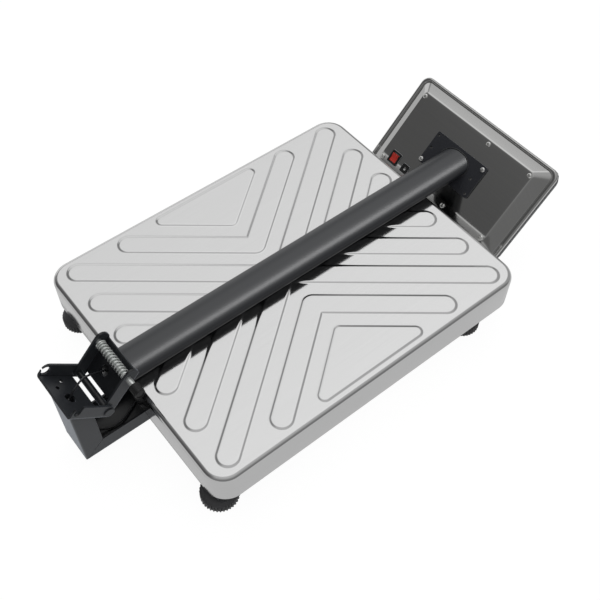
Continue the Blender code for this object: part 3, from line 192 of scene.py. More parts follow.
# Painted highlights round the switch and the socket: light grey frames in place of the glint on the
# bezels' glossy edges; their section gives growth and height in millimetres
SWITCH_AT = (-45.3 * MM, 86 * MM)
SWITCH_HALF = (9.5 * MM, 9 * MM)
SOCKET_AT = (-48.3 * MM, 61 * MM)
SOCKET_HALF = (6.25 * MM, 6.25 * MM)
HIGHLIGHT_FRAME_SECTION = ((0.8, 0.0), (0.8, 0.7), (0.5, 0.95), (0.0, 0.95), (0.0, 0.0))
HIGHLIGHT_FRAME_CORNER = 1.2
HIGHLIGHT_FRAME_STEPS = 6

# Keys, with inset and height of their section in millimetres
KEYPAD_AT = -34 * MM
KEYPAD_HALF = (26 * MM, 70 * MM)
KEY_ROWS = 4
KEY_COLUMNS = 8
KEY_FACE = -38.1 * MM
KEY_MARGIN = 1.8
KEY_SECTION = ((0.0, 0.2), (0.0, -0.35), (0.4, -0.6))
KEY_CORNER = 1.5 * MM
KEY_STEPS = 5

# Lock rod and its spring, from the rod's own middle
LOCK_REACH = 50 * MM
ROD_RADIUS = 4 * MM
ROD_TIP = 35.2 * MM
ROD_CHAMFER = 1 * MM
ROD_IN_KNOB = 9 * MM
KNOB_START = 47 * MM
KNOB_LENGTH = 15 * MM
KNOB_RADIUS = 7 * MM
KNOB_CHAMFER = 1.2 * MM
# Grooves of the knob in millimetres: how many, the first one's place, pitch, depth and half width
KNOB_GROOVES = 5
GROOVE_START = 3
GROOVE_PITCH = 1.8
GROOVE_DEPTH = 0.35 * MM
GROOVE_HALF = 0.4 * MM
# The knob's end and the ring let into it: millimetres inside its radius and short of its end
KNOB_END = ((0.0, 1.6), (0.9, 0.8))
KNOB_RING = ((0.5, 1.4), (0.2, 0.9), (0.5, 0.0), (1.5, 0.0), (1.5, 1.4), (0.5, 1.4))
WASHER_FACE = 27.4 * MM
WASHER_RADIUS = 7 * MM
WASHER_THICKNESS = 1.5 * MM
BORE_ROOM = 0.3 * MM
SPRING_FROM = -30.8 * MM
SPRING_TO = 24.6 * MM
SPRING_WIRE = 1.05 * MM
SPRING_RADIUS = 5.4 * MM
SPRING_TURNS = 13
SPRING_END_TURN = 0.9
SPRING_STEPS = 20
SPRING_SIDES = 10

# Pivot pin and the sleeve on it
PIN_RADIUS = 3.5 * MM
PIN_HEAD_RADIUS = 7 * MM
PIN_HEAD_FACE = 38.8 * MM
PIN_HEAD_HEIGHT = 1.5 * MM
PIN_HEAD_CHAMFER = (0.8 * MM, 0.5 * MM)
PIN_END = 4.2 * MM
SLEEVE_RADIUS = 4.6 * MM
SLEEVE_HALF = 31.8 * MM

# Signal cable, millimetres from the pivot: under the pan, up the post, over the hinge and through
# the column. The sheath parts at the points, counted from 0, that lie in the two leaves' holes.
CABLE_RADIUS = 1.35 * MM
CABLE_SIDES = 12
CABLE_STEP = 4 * MM
CABLE_BEND_STEP = 1.5 * MM
CABLE_ROUTE = (
    (230, 0, -41.2), (218, 0, -41.2), (206, 0, -41.2), (192, -1, -46), (165, 2, -66.4),
    (133, 6, -76.4), (88, 12, -76.4), (57, 3, -76.4), (18, -15, -76.4), (-6, -12, -75.4),
    (-27.4, -6, -56.8), (-33.9, -5, -26.8), (-35.4, -4, 11.3), (-29.7, -4, 17), (-19.5, -2, 27.2),
    (-2.7, 3, 29), (18.2, 7, 15.8), (25.2, 9, 8.7), (29.5, 9, 4.5), (49, 6, 4.1), (85, 3, 3.1),
    (293, 0, 3.1), (548, 0, 3.1), (596.7, 0, 15.9), (608, 0, 4.6), (622.7, 0, -10.1),
    (630, 0, -17.4),
)
CABLE_LOWER_HOLE = 13
CABLE_UPPER_HOLE = 17

# Cross rails: reach of their sides from the axis of the foot, and how much shorter they are
RAIL_OUTER = 11 * MM
RAIL_INNER = 19 * MM
RAIL_SHORTER = 12 * MM

# Feet: radius, depth of the teeth and height in millimetres, from the floor up
FOOT_SECTION = (
    (21.5, 0.0, 0.0), (23.2, 0.2, 0.5), (25.0, 2.6, 2.4), (25.0, 2.6, 13.0), (24.3, 0.4, 14.4),
    (23.2, 0.0, 15.0), (22.6, 0.0, 15.2), (20.6, 0.0, 17.3), (20.0, 0.0, 17.7), (6.0, 0.0, 17.7),
)
FOOT_TEETH = 36
TOOTH_POINTS = 4

# Weld beads
WELD_RADIUS = 1.3 * MM
WELD_STEP = 1.1 * MM
WELD_RIPPLE = 0.10
WELD_SIDES = 8
COLUMN_WELD_RADIUS = 0.8 * MM
COLUMN_WELD_RISE = 0.4 * MM
COLUMN_WELD_OUT = 0.2 * MM

# Rounding of edges: what counts as sharp, the usual width, and the widths of those that show most
SHARP_ANGLE = math.radians(32)
FOOT_SHARP_ANGLE = math.radians(40)
EDGE_WIDTH = 0.3 * MM
TURNED_EDGE_WIDTH = 0.25 * MM
WIDTHS = {
    "head_front_shell": 1.0 * MM,
    "upper_leaf": 0.5 * MM,
    "lower_leaf": 0.5 * MM,
    "base_arm": 0.6 * MM,
}
# How far each piece's flats keep their own shading against the curves beside them
CAD_FLATS = 80
TUBE_FLATS = 50
BACK_FLATS = 60
# A CAD node's facets within this distance or angle of each other are made one
SAME_PLACE = 0.002 * MM
SAME_PLANE = math.radians(0.5)
# Points round a turned piece of the hinge and the lock
ROUND_STEPS = 48

PIVOT = Vector(next(j for j in frame["joints"] if j["name"] == "column_fold")["pos_m"])
HEAD = Matrix.Translation(PIVOT + Vector(HEAD_FROM_PIVOT)) @ Matrix.Rotation(-LEAF_ANGLE, 4, "Y")
LOCK = PIVOT + Vector((math.cos(LEAF_ANGLE), 0.0, math.sin(LEAF_ANGLE))) * LOCK_REACH
ACROSS = Matrix.Rotation(-math.pi / 2, 4, "X")
PAN_LOW, PAN_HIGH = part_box("platform_pan")
PAN_TOP = PAN_HIGH.z - RIB_HEIGHT
PAN_CENTRE = Vector(((PAN_LOW.x + PAN_HIGH.x) / 2, (PAN_LOW.y + PAN_HIGH.y) / 2, PAN_TOP))
PAN_HALF = Vector(((PAN_HIGH.x - PAN_LOW.x) / 2, (PAN_HIGH.y - PAN_LOW.y) / 2))


# Nodes and finishes

def linear(colour):
    """Linear colour from an sRGB hex value."""
    channels = [int(colour[i:i + 2], 16) / 255 for i in (1, 3, 5)]
    return [c / 12.92 if c <= 0.04045 else ((c + 0.055) / 1.055) ** 2.4 for c in channels] + [1.0]


def add_node(tree, kind, sockets=None, **settings):
    """Node of a kind. Each entry of sockets is an input's value, or its link if it is a socket."""
    node = tree.nodes.new("ShaderNode" + kind)
    for name, value in settings.items():
        setattr(node, name, value)
    for name, value in (sockets or {}).items():
        if isinstance(value, bpy.types.NodeSocket):
            tree.links.new(value, node.inputs[name])
        else:
            node.inputs[name].default_value = value
    return node


def new_finish(name, light, dark, roughness, pattern_mm, bump_mm, sockets=None):
    """Finish whose colour, roughness and relief follow one noise, of a size along X, Y and Z."""
    material = bpy.data.materials.new(name)
    material.use_nodes = True
    tree = material.node_tree
    tree.nodes.clear()
    place = add_node(tree, "TexCoord")
    mapping = add_node(tree, "Mapping", {
        "Vector": place.outputs["Object"],
        "Scale": [1 / (size * MM) for size in pattern_mm],
    })
    noise = add_node(tree, "TexNoise", {
        "Vector": mapping.outputs["Vector"],
        "Scale": 1.0,
        "Detail": NOISE_DETAIL,
    })
    # The colour inputs of Mix share their names with its other inputs, so they go by number
    colour = add_node(tree, "Mix", {
        0: noise.outputs["Fac"],
        6: linear(dark),
        7: linear(light),
    }, data_type="RGBA")
    rough = add_node(tree, "MapRange", {
        "Value": noise.outputs["Fac"],
        "To Min": roughness[0],
        "To Max": roughness[1],
    })
    bump = add_node(tree, "Bump", {
        "Height": noise.outputs["Fac"],
        "Strength": 1.0,
        "Distance": bump_mm * MM,
    })
    shader = add_node(tree, "BsdfPrincipled", {
        "Base Color": colour.outputs[2],
        "Roughness": rough.outputs["Result"],
        "Normal": bump.outputs["Normal"],
        **(sockets or {}),
    })
    output = add_node(tree, "OutputMaterial")
    tree.links.new(shader.outputs["BSDF"], output.inputs["Surface"])
    return material


FINISH = {
    # Cold-rolled stainless sheet with a brushed grain along the pan: soft mirror, faint long
    # streaks. Real grain is too fine to show, so the streaks are drawn 1.6 mm wide.
    "pan_steel": new_finish("brushed_stainless", "#DBDBDB", "#D4D4D4", (0.10, 0.15),
                            (90, 1.6, 1.6), 0.002, {"Metallic": 1.0}),
    # The same steel polished further on the head's back: clear mirror, faint streaks along it
    "back_steel": new_finish("polished_stainless", "#C6C6C5", "#BFBFBE", (0.06, 0.10),
                             (2, 70, 70), 0.002, {"Metallic": 1.0}),
    # Semi-gloss powder coat on folded sheet: faint orange peel, cool bloom where it turns away
    "black_paint": new_finish("black_powder_coat", "#1B1C1F", "#141517", (0.26, 0.36),
                              (1.6, 1.6, 1.6), 0.02,
                              {"IOR": 1.5, "Sheen Weight": 1.0, "Sheen Roughness": 0.40,
                               "Sheen Tint": linear("#D3DCE8")}),
    # Graphite paint with metal flakes on the tube: satin, broad highlights. Real flakes are too
    # fine to show, so their mottle is drawn 0.9 mm wide.
    "grey_paint": new_finish("graphite_metallic_paint", "#2A2C30", "#242629", (0.29, 0.35),
                             (0.9, 0.9, 0.9), 0.006, {"IOR": 1.7, "Metallic": 0.12}),
    # Bright zinc plating: pale, slightly mottled and hazy
    "zinc": new_finish("zinc_plating", "#F6F8F6", "#E2E6E4", (0.28, 0.42), (3.0, 3.0, 3.0), 0.01,
                       {"Metallic": 0.75}),
    # Milled aluminium: tool marks across the block
    "cell_aluminium": new_finish("milled_aluminium", "#CDD0D2", "#B9BCBE", (0.28, 0.42),
                                 (1.2, 40, 40), 0.01, {"Metallic": 1.0}),
    # Moulded rubber: matt, dusty black
    "rubber": new_finish("moulded_rubber", "#5A5A5C", "#464648", (0.38, 0.52), (2.5, 2.5, 2.5),
                         0.03),
    # Moulded black ABS: satin, with a spark-eroded grain drawn 0.8 mm wide so that it can show
    "black_plastic": new_finish("black_abs", "#1B1B1C", "#151516", (0.36, 0.50), (0.8, 0.8, 0.8),
                                0.015),
    # Moulded dark grey ABS of the front housing: a duller satin with the same grain
    "housing_plastic": new_finish("grey_abs", "#4A4C50", "#434548", (0.42, 0.55),
                                  (0.8, 0.8, 0.8), 0.02),
    # Tinted acrylic window: deep, dark and glossy
    "window": new_finish("tinted_acrylic", "#2A1113", "#250F10", (0.03, 0.06), (30, 30, 30), 0.0,
                         {"IOR": 1.49}),
    # Embossed polyester film over the keys: even satin
    "keypad_film": new_finish("polyester_film", "#8893A6", "#7F8A9D", (0.38, 0.48),
                              (0.7, 0.7, 0.7), 0.008),
    # Solder resist over copper: glossy green, uneven over the tracks
    "board_green": new_finish("solder_resist", "#1F5E3A", "#17502F", (0.25, 0.40), (6, 6, 6),
                              0.02),
    # Moulded polycarbonate of the rocker: glossy red
    "rocker_red": new_finish("red_polycarbonate", "#FF4A3D", "#F5402F", (0.18, 0.26), (4, 4, 4),
                             0.01),
    # Nickel-plated screw heads: bright and slightly hazy
    "nickel": new_finish("nickel_plating", "#F0F0EE", "#DCDCDA", (0.16, 0.26), (1.5, 1.5, 1.5),
                         0.006, {"Metallic": 1.0}),
    # Painted highlight: light grey ABS for the frames round the switch and the socket, in place of
    # the glint on the bezels' glossy edges; satin
    "grey_trim": new_finish("edge_highlight_abs", "#A6A8AA", "#9A9C9E", (0.30, 0.40),
                            (0.8, 0.8, 0.8), 0.01),
    # Ink of the keys, printed on the film: satin, pale
    "key_ink": new_finish("printed_keys", "#D9DCE1", "#CFD2D8", (0.38, 0.48), (0.7, 0.7, 0.7),
                          0.006),
    # The black powder coat on the plate behind the head, painted a lighter grey: a painted lighter
    # tone in place of the light that falls on the plate
    "plate_paint": new_finish("powder_coat_painted_lighter", "#3C3E44", "#32343A", (0.30, 0.40),
                              (1.6, 1.6, 1.6), 0.02,
                              {"IOR": 1.5, "Sheen Weight": 0.5, "Sheen Roughness": 0.35}),
    # Weld bead under the black coat: glossier, lumpy
    "weld": new_finish("painted_weld", "#1E1F22", "#151618", (0.26, 0.40), (1.2, 1.2, 1.2), 0.05,
                       {"IOR": 1.8}),
    # Extruded PVC of the cable's sheath: smooth, softly glossy
    "cable_grey": new_finish("pvc_sheath", "#36373A", "#2C2D30", (0.22, 0.32), (3, 3, 3), 0.01),
}

# Nodes with a finish other than their slot's
FINISH_OF = {"mounting_plate": "plate_paint"}


# Meshes

def mesh_of(bm, name):
    """Smooth mesh from a bmesh, with its faces turned outwards."""
    bmesh.ops.recalc_face_normals(bm, faces=bm.faces)
    mesh = bpy.data.meshes.new(name)
    bm.to_mesh(mesh)
    bm.free()
    mesh.shade_smooth()
    return mesh


def arc(centre, radius, start, end, steps):
    angles = [start + (end - start) * i / steps for i in range(steps + 1)]
    return [(centre[0] + radius * math.cos(a), centre[1] + radius * math.sin(a)) for a in angles]


def circle(radius, steps):
    return arc((0.0, 0.0), radius, 0.0, math.tau * (1 - 1 / steps), steps - 1)


def rounded(half_x, half_y, corner, steps=8):
    """Outline of a rectangle about the origin with round corners."""
    outline = []
    for i, (sx, sy) in enumerate(((1, 1), (-1, 1), (-1, -1), (1, -1))):
        start = math.pi / 2 * i
        centre = (sx * (half_x - corner), sy * (half_y - corner))
        outline += arc(centre, corner, start, start + math.pi / 2, steps)
    return outline


def skin(name, rings, closed=False):
    """Faces between rings of as many points each: capped, or closed from the last to the first."""
    bm = bmesh.new()
    loops = [[bm.verts.new(point) for point in ring] for ring in rings]
    pairs = list(zip(loops, loops[1:]))
    if closed:
        pairs.append((loops[-1], loops[0]))
    for first, second in pairs:
        for i in range(len(first)):
            bm.faces.new((first[i - 1], first[i], second[i], second[i - 1]))
    if not closed:
        bm.faces.new(loops[0])
        bm.faces.new(loops[-1])
    return mesh_of(bm, name)


def turned(name, profile, steps):
    """Round piece about Z through (radius, height) points; a closed profile makes a ring."""
    hollow = profile[0] == profile[-1]
    points = profile[:-1] if hollow else profile
    rings = [[(x, y, height) for x, y in circle(radius, steps)] for radius, height in points]
    return skin(name, rings, closed=hollow)


def tube(name, points, radius, sides, ripple=0.0):
    """Round wire along points; ripple makes it swell and shrink by turns, as a weld does."""
    path = [Vector(p) for p in points]
    rings = []
    side = None
    for i, here in enumerate(path):
        along = (path[min(i + 1, len(path) - 1)] - path[max(i - 1, 0)]).normalized()
        if side is None:
            side = along.orthogonal().normalized()
        else:
            side = (side - along * side.dot(along)).normalized()
        other = along.cross(side)
        reach = radius * (1 + ripple * (-1) ** i)
        rings.append([here + side * x + other * y for x, y in circle(reach, sides)])
    return skin(name, rings)


def block(low, high):
    """Plain box, for cutting with."""
    centre = (Vector(low) + Vector(high)) / 2
    bm = bmesh.new()
    size = Matrix.Diagonal((*(Vector(high) - Vector(low)), 1.0))
    bmesh.ops.create_cube(bm, size=1.0, matrix=Matrix.Translation(centre) @ size)
    return mesh_of(bm, "block")


def carve(mesh, cutters):
    """The mesh with the cutters taken out of it."""
    body = bpy.data.objects.new("carved", mesh)
    bpy.context.scene.collection.objects.link(body)
    tools = []
    for cutter in cutters:
        tool = bpy.data.objects.new("cutter", cutter)
        bpy.context.scene.collection.objects.link(tool)
        boolean = body.modifiers.new("Cut", "BOOLEAN")
        boolean.object = tool
        boolean.solver = "EXACT"
        tools.append(tool)
    bpy.context.view_layer.update()
    evaluated = body.evaluated_get(bpy.context.evaluated_depsgraph_get())
    carved = bpy.data.meshes.new_from_object(evaluated)
    carved.name = mesh.name
    for obj in [body] + tools:
        bpy.data.objects.remove(obj, do_unlink=True)
    carved.shade_smooth()
    carved.set_sharp_from_angle(angle=SHARP_ANGLE)
    return carved


# Pieces

def add_piece(name, mesh, body, finish, *nodes, place=None):
    """Piece with its finish, on its body, in the place of the CAD nodes that it stands for."""
    obj = bpy.data.objects.new(name, mesh)
    bpy.context.scene.collection.objects.link(obj)
    if place is not None:
        mesh.transform(place)
    mesh.materials.clear()
    mesh.materials.append(FINISH[finish])
    if body:
        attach(obj, body)
    if nodes:
        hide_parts(*nodes)
    return obj


def keep_flats(obj, weight):
    """Shade the flats flat and leave the curves between them smooth."""
    weighted = obj.modifiers.new("Flats", "WEIGHTED_NORMAL")
    weighted.weight = weight


def soften(obj, width, segments=2):
    """Round the sharp edges and keep the flats between them."""
    bevel = obj.modifiers.new("Edges", "BEVEL")
    bevel.width = width
    bevel.segments = segments
    bevel.limit_method = "ANGLE"
    bevel.angle_limit = SHARP_ANGLE
    bevel.miter_outer = "MITER_ARC"
    keep_flats(obj, CAD_FLATS)


def rail_span(node):
    """X of a cross rail's two sides: slimmer than its solid, round the axis of its foot."""
    low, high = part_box(node.replace("base_rail", "foot_stud"))
    middle = (low.x + high.x) / 2
    outer = math.copysign(1, middle)
    return sorted((middle + outer * RAIL_OUTER, middle - outer * RAIL_INNER))


def slim_rail(bm, node):
    """Bring a cross rail's sides and its outer end to where the photograph shows them."""
    low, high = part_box(node)
    start, end = rail_span(node)
    reach = max(abs(low.y), abs(high.y)) - RAIL_SHORTER
    for vert in bm.verts:
        vert.co.x = start + (end - start) * (vert.co.x - low.x) / (high.x - low.x)
        vert.co.y = math.copysign(min(abs(vert.co.y), reach), vert.co.y)


def take_over(node, finish, width):
    """Copy of a CAD node with its flats whole and its edges rounded, in the node's place."""
    source = frame["nodes"][node]
    bm = bmesh.new()
    bm.from_mesh(source.data)
    if node.startswith("base_rail"):
        slim_rail(bm, node)
    bmesh.ops.remove_doubles(bm, verts=bm.verts, dist=SAME_PLACE)
    bmesh.ops.dissolve_limit(bm, angle_limit=SAME_PLANE, verts=bm.verts, edges=bm.edges)
    mesh = mesh_of(bm, node + "_look")
    if "custom_normal" in mesh.attributes:
        mesh.attributes.remove(mesh.attributes["custom_normal"])
    soften(add_piece(node + "_look", mesh, source["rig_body"], finish, node), width)


# Stage, light and camera

def add_camera():
    camera = bpy.data.objects.new("camera", bpy.data.cameras.new("camera"))
    camera.data.lens = CAMERA_LENS
    camera.location = CAMERA_PLACE
    camera.rotation_euler = [math.radians(a) for a in CAMERA_TURN]
    bpy.context.scene.collection.objects.link(camera)
    bpy.context.scene.camera = camera


def soft_area(tree, way, centre, edge, level):
    """Strength of a round bright area about a direction, soft at its edge."""
    share = add_node(tree, "VectorMath", {0: way, 1: Vector(centre).normalized()},
                     operation="DOT_PRODUCT")
    return add_node(tree, "MapRange", {
        "Value": share.outputs["Value"],
        "From Min": edge[0],
        "From Max": edge[1],
        "To Min": 0.0,
        "To Max": level,
    }, interpolation_type="SMOOTHSTEP").outputs["Result"]


def add_sky():
    """Studio round the scale, and plain white where only the camera looks."""
    world = bpy.data.worlds.new("studio")
    bpy.context.scene.world = world
    world.use_nodes = True
    tree = world.node_tree
    tree.nodes.clear()
    way = add_node(tree, "TexCoord").outputs["Generated"]
    split = add_node(tree, "SeparateXYZ", {"Vector": way})
    ramp = add_node(tree, "ValToRGB", {"Fac": split.outputs["Z"]})
    stops = ramp.color_ramp.elements
    for stop, (_, level) in zip(stops, (SKY[0], SKY[-1])):
        stop.color = (level, level, level, 1.0)
    for height, level in SKY[1:-1]:
        stops.new(height).color = (level, level, level, 1.0)
    cloth = soft_area(tree, way, CLOTH_WAY, CLOTH_EDGE, CLOTH_LEVEL)
    ceiling = soft_area(tree, way, CEILING_WAY, CEILING_EDGE, 1.0)
    fade = add_node(tree, "MapRange", {
        "Value": split.outputs["Y"],
        "From Min": CEILING_SPAN[0],
        "From Max": CEILING_SPAN[1],
        "To Min": CEILING_LEVEL[0],
        "To Max": CEILING_LEVEL[1],
    })
    ceiling = add_node(tree, "Math", {0: ceiling, 1: fade.outputs["Result"]}, operation="MULTIPLY")
    wall = soft_area(tree, way, WALL_WAY, WALL_EDGE, WALL_LEVEL)
    side = add_node(tree, "Math", {0: wall, 1: cloth}, operation="MAXIMUM")
    bright = add_node(tree, "Math", {0: ceiling.outputs[0], 1: side.outputs[0]},
                      operation="MAXIMUM")
    flag = soft_area(tree, way, FLAG_WAY, FLAG_EDGE, FLAG_SHARE)
    unflagged = add_node(tree, "Math", {0: 1.0, 1: flag}, operation="SUBTRACT")
    dimmed = add_node(tree, "Math", {0: ramp.outputs["Color"], 1: unflagged.outputs[0]},
                      operation="MULTIPLY")
    walls = add_node(tree, "Math", {0: dimmed.outputs[0], 1: bright.outputs[0]},
                     operation="MAXIMUM")
    room = add_node(tree, "Background", {
        "Color": (1.0, 1.0, 1.0, 1.0),
        "Strength": walls.outputs[0],
    })
    white = add_node(tree, "Background", {"Color": (1.0, 1.0, 1.0, 1.0), "Strength": 1.0})
    path = add_node(tree, "LightPath")
    mix = add_node(tree, "MixShader", {
        0: path.outputs["Is Camera Ray"],
        1: room.outputs[0],
        2: white.outputs[0],
    })
    output = add_node(tree, "OutputWorld")
    tree.links.new(mix.outputs[0], output.inputs["Surface"])


def add_strip_lamp(piece):
    """Long soft lamp along the column, kept to the column so that the pan stays even."""
    data = bpy.data.lights.new("strip_lamp", "AREA")
    data.shape = "RECTANGLE"
    data.size, data.size_y = LAMP_SIZE
    data.energy = LAMP_WATTS
    lamp = bpy.data.objects.new("strip_lamp", data)
    lamp.location = LAMP_PLACE
    lamp.rotation_euler = (math.atan2(LAMP_PLACE[1], LAMP_PLACE[2]), LAMP_TURN, 0.0)
    lamp.visible_camera = False
    bpy.context.scene.collection.objects.link(lamp)
    lit = bpy.data.collections.new("lit_by_strip_lamp")
    lit.objects.link(piece)
    lamp.light_linking.receiver_collection = lit


def add_floor():
    """White card that takes the shadow; part of it shines, so that it stays white to the eye."""
    material = bpy.data.materials.new("white_card")
    material.use_nodes = True
    tree = material.node_tree
    tree.nodes.clear()
    card = add_node(tree, "BsdfDiffuse", {"Color": linear(FLOOR_CARD)})
    path = add_node(tree, "LightPath")
    seen = path.outputs["Is Camera Ray"]
    mirrored = path.outputs["Is Glossy Ray"]
    level = add_node(tree, "MapRange", {
        "Value": seen,
        "To Min": FLOOR_MIRRORED,
        "To Max": FLOOR_WHITE,
    })
    white = add_node(tree, "Emission", {
        "Color": (1.0, 1.0, 1.0, 1.0),
        "Strength": level.outputs[0],
    })
    share = add_node(tree, "Math", {0: mirrored, 1: FLOOR_MIRRORED_SHARE}, operation="MULTIPLY")
    both = add_node(tree, "Math", {0: seen, 1: FLOOR_SHARE, 2: share.outputs[0]},
                    operation="MULTIPLY_ADD")
    mix = add_node(tree, "MixShader", {
        0: both.outputs[0],
        1: card.outputs[0],
        2: white.outputs[0],
    })
    output = add_node(tree, "OutputMaterial")
    tree.links.new(mix.outputs[0], output.inputs["Surface"])
    half = FLOOR_SIZE / 2
    bm = bmesh.new()
    bm.faces.new([bm.verts.new((x, y, 0.0)) for x, y in rounded(half, half, half / 2)])
    floor = bpy.data.objects.new("floor", mesh_of(bm, "floor"))
    floor.data.materials.append(material)
    bpy.context.scene.collection.objects.link(floor)


# Pan

def rib_end(start, direction):
    """Where a rib from start stops, so that its round end keeps the margins."""
    way_x = start.x * math.copysign(1, direction.x)
    way_y = start.y * math.copysign(1, direction.y)
    reach_x = (PAN_HALF.x - RIB_MARGIN_X - way_x) / abs(direction.x)
    reach_y = (PAN_HALF.y - RIB_MARGIN_Y - way_y) / abs(direction.y)
    return start + direction * (min(reach_x, reach_y) - RIB_WIDTH / 2)


def rib_lines():
    """Centre lines of the ribs and the corners of the two triangular fields."""
    slope = PAN_HALF.y / PAN_HALF.x
    stretch = math.hypot(1.0, slope)
    middle = Vector((0.0, 0.0))
    lines = []
    fields = []
    for side in (1, -1):
        diagonal = Vector((1.0, side * slope)).normalized()
        lines.append((rib_end(middle, -diagonal), rib_end(middle, diagonal)))
    for end in (1, -1):
        starts = [(Vector((0.0, end * RIB_PITCH * stretch)), True)]
        for row in (1, 2):
            starts.append((Vector((end * row * RIB_PITCH * stretch / slope, 0.0)), False))
        for start, long_side in starts:
            for side in (1, -1):
                signs = (side, end) if long_side else (end, side)
                direction = Vector((signs[0], signs[1] * slope)).normalized()
                lines.append((start, rib_end(start, direction)))
        apex = (2 * RIB_PITCH - RIB_WIDTH / 2) * stretch
        base = PAN_HALF.y - RIB_FIELD_MARGIN
        half_base = (base - apex) / slope
        fields.append([(0.0, end * apex), (half_base, end * base), (-half_base, end * base)])
    return lines, fields


def line_distance(points, start, end):
    start = np.array(start)
    along = np.array(end) - start
    share = np.clip((points - start) @ along / (along @ along), 0.0, 1.0)
    return np.linalg.norm(points - start - share[:, None] * along, axis=1)


def field_distance(points, corners):
    """Signed distance from a triangle with round corners."""
    corners = np.array(corners)
    centre = corners.mean(0)
    inner = []
    for i, corner in enumerate(corners):
        before = corners[i - 1] - corner
        after = corners[(i + 1) % 3] - corner
        before /= np.linalg.norm(before)
        after /= np.linalg.norm(after)
        half = math.acos(before @ after) / 2
        bisector = (before + after) / np.linalg.norm(before + after)
        inner.append(corner + bisector * RIB_FIELD_CORNER / math.sin(half))
    nearest = np.full(len(points), np.inf)
    inside = np.full(len(points), -np.inf)
    for i in range(3):
        nearest = np.minimum(nearest, line_distance(points, inner[i - 1], inner[i]))
        edge = inner[i] - inner[i - 1]
        normal = np.array((edge[1], -edge[0])) / np.linalg.norm(edge)
        normal *= math.copysign(1, normal @ (inner[i] - centre))
        inside = np.maximum(inside, (points - inner[i]) @ normal)
    return np.where(inside < 0, inside, nearest) - RIB_FIELD_CORNER


def rib_distance(points):
    """Distance from the nearest rib's outline, less than nothing inside a rib."""
    lines, fields = RIBS
    distance = np.full(len(points), np.inf)
    for start, end in lines:
        distance = np.minimum(distance, line_distance(points, start, end) - RIB_WIDTH / 2)
    for corners in fields:
        distance = np.minimum(distance, field_distance(points, corners))
    return distance


def rib_relief(points):
    """Height of the pressed ribs and the pan's normal at each point."""
    width = RIB_SLOPE_OUT + RIB_SLOPE_IN
    share = np.clip((RIB_SLOPE_OUT - rib_distance(points)) / width, 0.0, 1.0)
    height = RIB_HEIGHT * share ** 2 * (3 - 2 * share)
    rise = RIB_HEIGHT * 6 * share * (1 - share) / width
    slope = []
    for move in ((RIB_PROBE, 0.0), (0.0, RIB_PROBE)):
        change = rib_distance(points + move) - rib_distance(points - np.array(move))
        slope.append(rise * change / (2 * RIB_PROBE))
    normals = np.stack([slope[0], slope[1], np.ones(len(points))], axis=1)
    return height, normals / np.linalg.norm(normals, axis=1)[:, None]


def pan_points():
    """Points close together on the ribs' slopes and far apart on the flats of the pan's top."""
    corner = PAN_CORNER - PAN_EDGE
    spread = []
    for pitch, on_slope in ((SLOPE_PITCH, True), (FLAT_PITCH, False)):
        xs = np.arange(-PAN_HALF.x + PAN_EDGE + pitch / 2, PAN_HALF.x - PAN_EDGE, pitch)
        ys = np.arange(-PAN_HALF.y + PAN_EDGE + pitch / 2, PAN_HALF.y - PAN_EDGE, pitch)
        grid = np.stack(np.meshgrid(xs, ys), axis=-1).reshape(-1, 2)
        distance = rib_distance(grid)
        outside = distance < RIB_SLOPE_OUT + SLOPE_PITCH
        near = outside & (distance > -RIB_SLOPE_IN - SLOPE_PITCH)
        kept = grid[near] if on_slope else grid[~near]
        reach = np.abs(kept) - (PAN_HALF.x - PAN_EDGE - corner, PAN_HALF.y - PAN_EDGE - corner)
        inside = np.linalg.norm(np.maximum(reach, 0.0), axis=1) < corner - SLOPE_PITCH
        spread.append(kept[inside])
    return np.concatenate(spread)


def pan_ring(inset, height):
    half = (PAN_HALF.x - inset, PAN_HALF.y - inset)
    return [(x, y, height) for x, y in rounded(*half, PAN_CORNER - inset, PAN_CORNER_STEPS)]


def pan_section():
    """Inset and height of the pan's rings: rolled edge, skirt, hem, inner side of the sheet."""
    section = []
    for i in range(1, PAN_EDGE_STEPS + 1):
        turn = math.pi / 2 * i / PAN_EDGE_STEPS
        section.append((PAN_EDGE * (1 - math.sin(turn)), -PAN_EDGE * (1 - math.cos(turn))))
    skirt = PAN_LOW.z - PAN_TOP
    section += [(inset * PAN_HEM, skirt + height * PAN_HEM) for inset, height in HEM_SECTION]
    section += [(PAN_SHEET, skirt + PAN_HEM), (PAN_SHEET, -PAN_EDGE)]
    section += [(PAN_EDGE * inset, -PAN_EDGE * drop - PAN_SHEET) for inset, drop in INNER_BEND]
    return section


